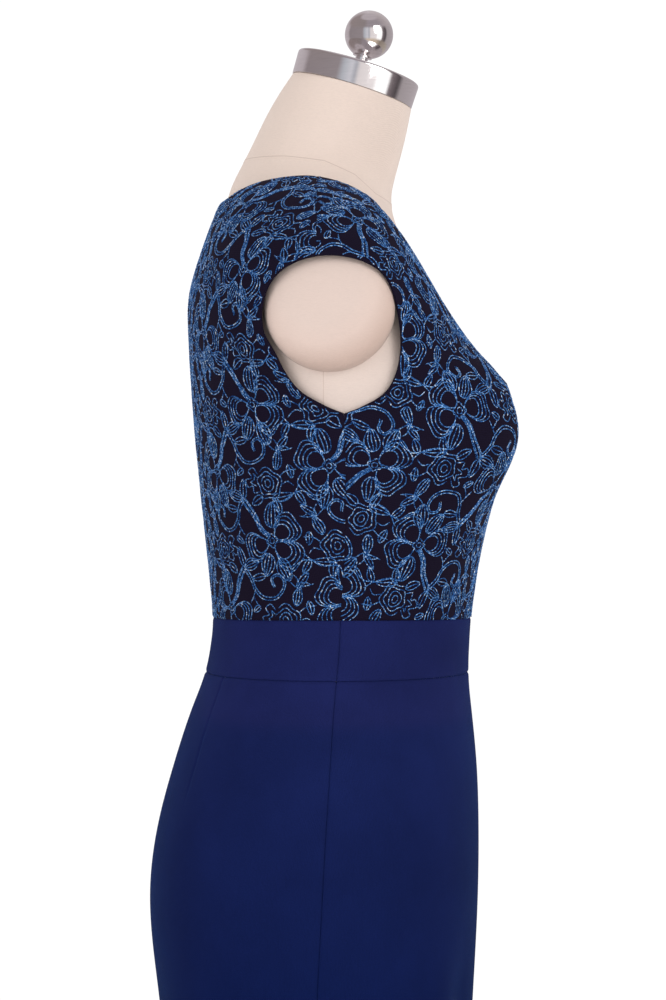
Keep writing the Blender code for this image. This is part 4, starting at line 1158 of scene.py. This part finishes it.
FINE = [line * LACE_SCALE for line in flower() + rosette_and_leaves()]
HEAVY = [line * LACE_SCALE for line in stem_and_scroll()]
metres = sum(np.linalg.norm(np.diff(x, axis=0), axis=1).sum() for x in FINE + HEAVY) / 1000.0
print(len(FINE) + len(HEAVY), "lines to a flower,", round(metres, 2), "m of cord")

# %% [markdown]
# ## Laying the cords
#
# The lines are drawn on the flat pattern piece, and then each point is carried to the body. The
# pattern gives a flat point for each place on the strip, and the way back is a search: a fine
# table finds a near place, and two Newton steps correct it. The cord itself is half round, sunk
# a little into the net, and swells and thins as its stitches pull it down.
# %% Helper: from the flat piece to the body
MISS_LIMIT = 0.4  # a point found further off than this, in mm, is lost


def back_map(pattern, half, span, cell=0.9):
    """A table of (place, across) for each small square of the flat piece and a little round it."""
    places = np.linspace(span[0] - 4.0, span[1] + 4.0, round((span[1] - span[0]) / 0.45))
    shares = np.linspace(-0.025, 1.025, 440)
    place, across = np.meshgrid(places, shares, indexing="ij")
    flat = on_pattern(pattern, half, place, across)
    low = flat.reshape(-1, 2).min(0)
    at = ((flat - low) / cell).astype(int)
    table = np.full((*(at.reshape(-1, 2).max(0) + 1), 2), np.nan)
    table[at[..., 0], at[..., 1]] = np.stack([place, across], axis=-1)
    return low, cell, table


def find_places(pattern, half, span, points, table):
    """The (place, across) of flat points; NaN where they lie off this half of the piece."""
    low, cell, grid = table
    at = np.floor((points - low) / cell).astype(int)
    inside = (at >= 0).all(axis=1) & (at < np.array(grid.shape[:2])).all(axis=1)
    at = np.clip(at, 0, np.array(grid.shape[:2]) - 1)
    found = np.where(inside[:, None], grid[at[:, 0], at[:, 1]], np.nan)
    start = np.nan_to_num(found, nan=span[0] + 1.0)
    place, across = start[:, 0], start[:, 1]
    for _ in range(2):
        here = on_pattern(pattern, half, place, across)
        by_place = (on_pattern(pattern, half, place + 0.5, across) - here) / 0.5
        by_share = (on_pattern(pattern, half, place, across + 0.003) - here) / 0.003
        miss = points - here
        det = by_place[:, 0] * by_share[:, 1] - by_place[:, 1] * by_share[:, 0]
        place = place + (miss[:, 0] * by_share[:, 1] - miss[:, 1] * by_share[:, 0]) / det
        across = across + (by_place[:, 0] * miss[:, 1] - by_place[:, 1] * miss[:, 0]) / det
    miss = np.linalg.norm(points - on_pattern(pattern, half, place, across), axis=1)
    lost = np.isnan(found[:, 0]) | ~(miss < MISS_LIMIT)
    place[lost], across[lost] = np.nan, np.nan
    return place, across


CORD_STEP, WANDER, SHORTEST = 1.45, 0.28, 6  # mm, mm and points to a strand
CORD_PROFILE = np.array([(-1.0, 0.0), (-0.55, 1.0), (0.55, 1.0), (1.0, 0.0)])
KINDS = [(FINE, 0.44, 0.43), (HEAVY, 0.50, 0.53)]  # lines, half width and height in mm
SUNK, BEAT, TIP_SHARE, LINE_APART = -0.12, 0.16, 0.45, 7.3
MOTIF_REACH = 95.0  # no line of a motif goes further than this from its middle
EDGE_MARGIN, SEAM_MARGIN, CENTRE_OVERLAP, NECK_ROW = 0.5, 0.1, 0.005, 110.0


def even_steps(line, step=CORD_STEP):
    """The line as points at equal distances along it."""
    travel = np.append(0.0, np.cumsum(np.linalg.norm(np.diff(line, axis=0), axis=1)))
    at = np.linspace(0.0, travel[-1], max(round(travel[-1] / step), 3) + 1)
    return np.stack([np.interp(at, travel, line[:, k]) for k in (0, 1)], axis=1)


def lace_lines(low, high, turned, origin):
    """All the cords that may touch a flat box: points, line numbers, half widths, heights.
    A sine of the point's own coordinates lets each cord wander a little, as if led by hand."""
    points, widths, heights = [], [], []
    cords = [(even_steps(line), w, h) for lines, w, h in KINDS for line in lines]
    reach = int(max(high - low) / REPEAT_HALF[1]) + 3
    for i in range(-reach, reach + 1):
        for j in range(-reach, reach + 1):
            centre = turn(np.array([[REPEAT_HALF[0] * i, REPEAT_HALF[1] * j]]), turned, origin)[0]
            far = (centre < low - MOTIF_REACH).any() or (centre > high + MOTIF_REACH).any()
            if (i + j) % 2 or far:
                continue
            mirror = np.array([-1.0 if i % 2 else 1.0, 1.0])
            for line, w, h in cords:
                points.append(turn(line * mirror, turned, centre))
                widths.append(np.full(len(line), w))
                heights.append(np.full(len(line), h))
    number = np.repeat(np.arange(len(points)), [len(p) for p in points])
    points = np.concatenate(points)
    wander = WANDER * np.sin(points[:, ::-1] / 2.9 + 2.0 * np.sin(points / 7.0))
    return points + wander, number, np.concatenate(widths), np.concatenate(heights)


def surface_frames(place, across, side):
    """Points of the relief surface, and its normals from small steps both ways."""
    def at(p, a):
        return strip_surface(p, a[:, None], side)[:, 0]
    along = at(np.minimum(place + 0.4, KNOTS[-1]), across) - at(place - 0.4, across)
    crosswise = (at(place, np.minimum(across + STEP_ACROSS, 1.0))
                 - at(place, np.maximum(across - STEP_ACROSS, 0.0)))
    normal = unit(np.cross(crosswise, along) * side)
    return at(place, across) + normal * relief(place, across)[:, None], normal


def room_left(place, across, span):
    """How far each point lies inside the four limits of a half panel, in mm."""
    at_neck = (place > UNDERARM) & (place < NECK_END + 1.5)
    inner = np.where(at_neck, EDGE_MARGIN / NECK_ROW, -CENTRE_OVERLAP)
    outer = 1.0 - np.where(station_of(place) > UNDERARM, EDGE_MARGIN, SEAM_MARGIN) / ROW_LENGTH
    return np.stack([place - span[0] - SEAM_MARGIN, span[1] - SEAM_MARGIN - place,
                     (across - inner) * ROW_LENGTH, (outer - across) * ROW_LENGTH])


def cut_lines(place, across, line, span):
    """Cuts the lines at the limits. A point just outside slides back along its line, by the
    share room / (room + overshoot). Also returns which points are linked to the next one."""
    room = room_left(place, across, span)
    good = (np.nan_to_num(room, nan=-1.0) >= 0.0).all(axis=0)
    linked = good & np.roll(good, -1)
    free = ~good & np.isfinite(place)
    for step in (1, -1):
        near = free & np.roll(good, step) & (np.roll(line, step) == line)
        before, after = np.roll(room, step, axis=1)[:, near], room[:, near]
        share = np.where(after < 0.0, before / (before - after), 1.0).min(axis=0)
        for values in (place, across):
            values[near] = np.roll(values, step)[near] * (1.0 - share) + values[near] * share
        linked |= np.roll(near, -1) if step == 1 else near
        free &= ~near
    return linked & (np.roll(line, -1) == line)


def lay_cords(name, panel, half, turned, origin):
    """Half-round cords on one half of a bodice panel, as one mesh of many closed strands."""
    pattern, span, side = PATTERNS[panel], SPANS[panel], (1, -1)[half]
    corners = pattern.flat[half].reshape(-1, 2)
    points, line, width, height = lace_lines(corners.min(0), corners.max(0), turned, origin)
    place, across = find_places(pattern, half, span, points, back_map(pattern, half, span))
    linked = cut_lines(place, across, line, span)
    strand = np.cumsum(~np.roll(linked, 1))
    linked &= np.bincount(strand)[strand] >= SHORTEST
    keep = np.flatnonzero(linked | np.roll(linked, 1))
    has_next, has_last = linked[keep], np.roll(linked, 1)[keep]
    at_end = (np.roll(line, 1) != line) | (np.roll(line, -1) != line)
    tip = np.where(at_end, TIP_SHARE, 1.0)[keep]
    place, across, width, height = place[keep], across[keep], width[keep] * tip, height[keep] * tip
    skin, normal = surface_frames(place, across, side)
    run = (np.where(has_next[:, None], np.roll(skin, -1, axis=0), skin)
           - np.where(has_last[:, None], np.roll(skin, 1, axis=0), skin))
    beside = unit(np.cross(normal, run))
    beat = 1.0 + BEAT * np.where(np.arange(len(skin)) % 2, 1.0, -1.0)
    wide, high = CORD_PROFILE[None, :, :1], CORD_PROFILE[None, :, 1:]
    rings = (
        skin[:, None] + beside[:, None] * wide * (width * beat)[:, None, None]
        + normal[:, None] * (high * (height * beat)[:, None, None] + SUNK)
    )
    n = np.arange(len(skin) * 4).reshape(-1, 4)
    first = np.flatnonzero(has_next)
    a, b = n[first], n[first + 1]
    walls = [np.stack([a[:, k], b[:, k], b[:, (k + 1) % 4], a[:, (k + 1) % 4]], axis=1)
             for k in range(4)]
    caps = [n[has_next & ~has_last], n[has_last & ~has_next][:, ::-1]]
    along = np.stack([np.arange(len(points)) * CORD_STEP, line * LINE_APART], axis=1)[keep] * MM
    return new_mesh(name, rings.reshape(-1, 3) * MM, np.concatenate(walls + caps),
                    np.repeat(along, 4, axis=0), THREAD)


# %% [markdown]
# ## The embroidered bodice
#
# Front and back are cut from the same lace, the front with the flowers the other way up, and
# both a little off the straight grain, as a cutter places them to save cloth. Left and right
# halves are separate meshes that meet at the centre line, so neither grows too large.
# %% Lay the lace
LACE_CUT = {"bodice_front": (178.0, (-142.5, 67.0)), "bodice_back": (5.0, (-193.0, 113.0))}
CORDS = {}
for panel, (turned_by, origin) in LACE_CUT.items():
    for half, hand in ((0, "left"), (1, "right")):
        made = lay_cords(f"embroidery_{panel[7:]}_{hand}", panel, half, turned_by, origin)
        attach(made, "root")
        CORDS.setdefault(panel, []).append(made)
        print(made.name, sum(len(p.vertices) - 2 for p in made.data.polygons), "triangles")

# %% [markdown]
# ## Studio
#
# The camera looks level at the wearer's right side through a long lens, which keeps the shape of
# the dress free of perspective. The floor and the world are pale. Two wide soft lights stand on
# the camera's side, and two weaker ones light the back and the front. Polished steel shows only
# what stands round it, so it gets a room of its own to mirror: panels and dark gaps, drawn as
# colours round the compass, one row of them for each storey.
# %% Camera, lights and floor
def camera_at(x, y, z, lens):
    """A level camera that looks along +X."""
    data = bpy.data.cameras.new("camera")
    data.lens, data.sensor_width, data.sensor_fit = lens, 36.0, "AUTO"
    data.clip_start, data.clip_end = 0.1, 60.0
    made = bpy.data.objects.new("camera", data)
    made.location = (x, y, z)
    made.rotation_euler = (math.radians(90.0), 0.0, math.radians(-90.0))
    bpy.context.scene.collection.objects.link(made)
    bpy.context.scene.camera = made


def soft_light(name, place, aim, size, power):
    """A square area light at place that faces aim."""
    data = bpy.data.lights.new(name, "AREA")
    data.shape, data.size, data.size_y, data.energy = "RECTANGLE", *size, power
    made = bpy.data.objects.new(name, data)
    made.location = place
    direction = Vector(aim) - Vector(place)
    made.rotation_euler = direction.to_track_quat("-Z", "Y").to_euler()
    made.visible_glossy = name == "key"
    bpy.context.scene.collection.objects.link(made)


def studio_world():
    """White to the camera and an even pale grey as light. Polished steel sees the room instead:
    panels and dark gaps as ramps over the compass angle atan2(-y, -x), one ramp for each
    storey, and the storeys blend into each other over z."""
    world = bpy.data.worlds.new("studio")
    bpy.context.scene.world = world
    world.use_nodes = True
    w = Nodes(world.node_tree)
    split = w.add("SeparateXYZ", _0=w.add("TexCoord").outputs["Generated"]).outputs
    compass = w.math("ARCTAN2", *(w.math("MULTIPLY", split[axis], -1.0) for axis in ("Y", "X")))
    share, rise = (
        w.add("Math", ("operation", "MULTIPLY_ADD"), _0=value, _1=scale, _2=0.5).outputs[0]
        for value, scale in ((compass, 0.5 / math.pi), (split["Z"], 0.5))
    )
    room = w.ramp(share, *ROOM)
    for blend, storey in STOREYS:
        taken = w.ramp(rise, *((height, (part,) * 3) for height, part in blend))
        room = w.add("Mix", ("data_type", "RGBA"), _0=taken, _6=room,
                     _7=w.ramp(share, *storey)).outputs[2]
    room = w.add("Background", Color=room, Strength=ROOM_STRENGTH)
    even = w.add("Background", Color=(1.0, 0.98, 0.97, 1.0), Strength=AMBIENT)
    white = w.add("Background", Strength=WHITE_STRENGTH)
    path = w.add("LightPath").outputs
    light = w.add("MixShader", _0=path["Is Glossy Ray"], _1=even.outputs[0], _2=room.outputs[0])
    seen = w.add("MixShader", _0=path["Is Camera Ray"], _1=light.outputs[0], _2=white.outputs[0])
    w.tree.links.new(seen.outputs[0], w.tree.nodes["World Output"].inputs["Surface"])


def pale_floor():
    """A disc of white paper under the base, which glows towards its rim so that it fades into
    the white behind it: the glow is an S-curve of the distance from the middle."""
    w = Wiring("white_paper", Roughness=0.9, Specular_IOR_Level=0.05, Emission_Strength=1.0,
               Base_Color=(0.84, 0.84, 0.84, 1.0))
    mapped = w.add("Mapping", Vector=w.coords.outputs["Object"], Scale=(0.33, 0.33, 0.33))
    rise = w.add("TexGradient", ("gradient_type", "SPHERICAL"), Vector=mapped.outputs[0])
    glow = w.ramp(rise.outputs["Fac"], (0.12, (1.0, 1.0, 1.0)), (0.62, (0.0, 0.0, 0.0)))
    paper = w.set(Emission_Color=glow)
    a = 2.0 * math.pi * np.arange(96) / 96
    rim = np.stack([FLOOR_RADIUS * np.cos(a), FLOOR_RADIUS * np.sin(a), FLOOR_Z + 0.0 * a], axis=1)
    floor = new_mesh("floor", rim, [list(range(96))], finish=paper)
    floor.visible_glossy = False


AMBIENT, ROOM_STRENGTH, WHITE_STRENGTH = 0.50, 1.25, 1.3
FLOOR_RADIUS, FLOOR_Z = 3.0, -0.0002  # metres
ROOM = [  # compass share, then a colour: the panels and gaps that the steel mirrors
    (0.0, (0.44, 0.40, 0.42)), (0.17, (0.38, 0.34, 0.36)), (0.21, (0.22, 0.19, 0.20)),
    (0.41, (0.24, 0.21, 0.22)), (0.44, (0.38, 0.40, 0.44)), (0.48, (0.52, 0.52, 0.56)),
    (0.50, (0.34, 0.35, 0.39)), (0.52, (0.64, 0.60, 0.60)), (0.60, (0.70, 0.66, 0.66)),
    (0.615, (1.0, 1.0, 1.0)), (0.675, (1.0, 1.0, 1.0)), (0.69, (0.17, 0.14, 0.15)),
    (0.74, (0.06, 0.05, 0.055)), (0.77, (0.30, 0.27, 0.28)), (1.0, (0.40, 0.36, 0.38)),
]
FLOOR_PART = [
    (0.0, (0.40, 0.35, 0.31)), (0.20, (0.16, 0.13, 0.11)), (0.42, (0.15, 0.12, 0.10)),
    (0.47, (0.52, 0.42, 0.32)), (0.60, (0.48, 0.40, 0.32)), (0.68, (0.22, 0.18, 0.15)),
    (1.0, (0.42, 0.38, 0.34)),
]
UPPER_PART = [
    (0.0, (0.48, 0.44, 0.46)), (0.12, (0.24, 0.20, 0.20)), (0.42, (0.22, 0.19, 0.19)),
    (0.48, (0.26, 0.23, 0.25)), (0.66, (0.26, 0.23, 0.25)), (0.80, (0.34, 0.30, 0.31)),
    (1.0, (0.46, 0.42, 0.43)),
]
CEILING = [(0.0, (0.38, 0.34, 0.36)), (1.0, (0.38, 0.34, 0.36))]
STOREYS = [  # height shares (0 straight down, 0.5 level, 1 up) between which each takes over
    (((0.25, 1.0), (0.33, 0.0)), FLOOR_PART), (((0.69, 0.0), (0.77, 1.0)), UPPER_PART),
    (((0.94, 0.0), (0.97, 1.0)), CEILING),
]
camera_at(-2.4, -0.0115, 1.16, 112.32)
soft_light("key", (-2.2, -1.9, 2.4), (0.0, 0.0, 1.1), (1.6, 1.8), 38.0)
soft_light("fill", (-2.0, 1.9, 1.9), (0.0, 0.0, 1.0), (1.4, 2.0), 28.5)
soft_light("back", (1.9, 1.2, 2.3), (0.0, 0.0, 1.0), (1.4, 1.6), 16.0)
soft_light("front", (1.2, -2.2, 1.8), (0.0, 0.0, 1.0), (1.4, 1.8), 11.0)
studio_world()
pale_floor()
view = bpy.context.scene.view_settings
view.view_transform, view.look, view.exposure = "Standard", "None", 0.0
print("the camera is", bpy.context.scene.camera.location[:])
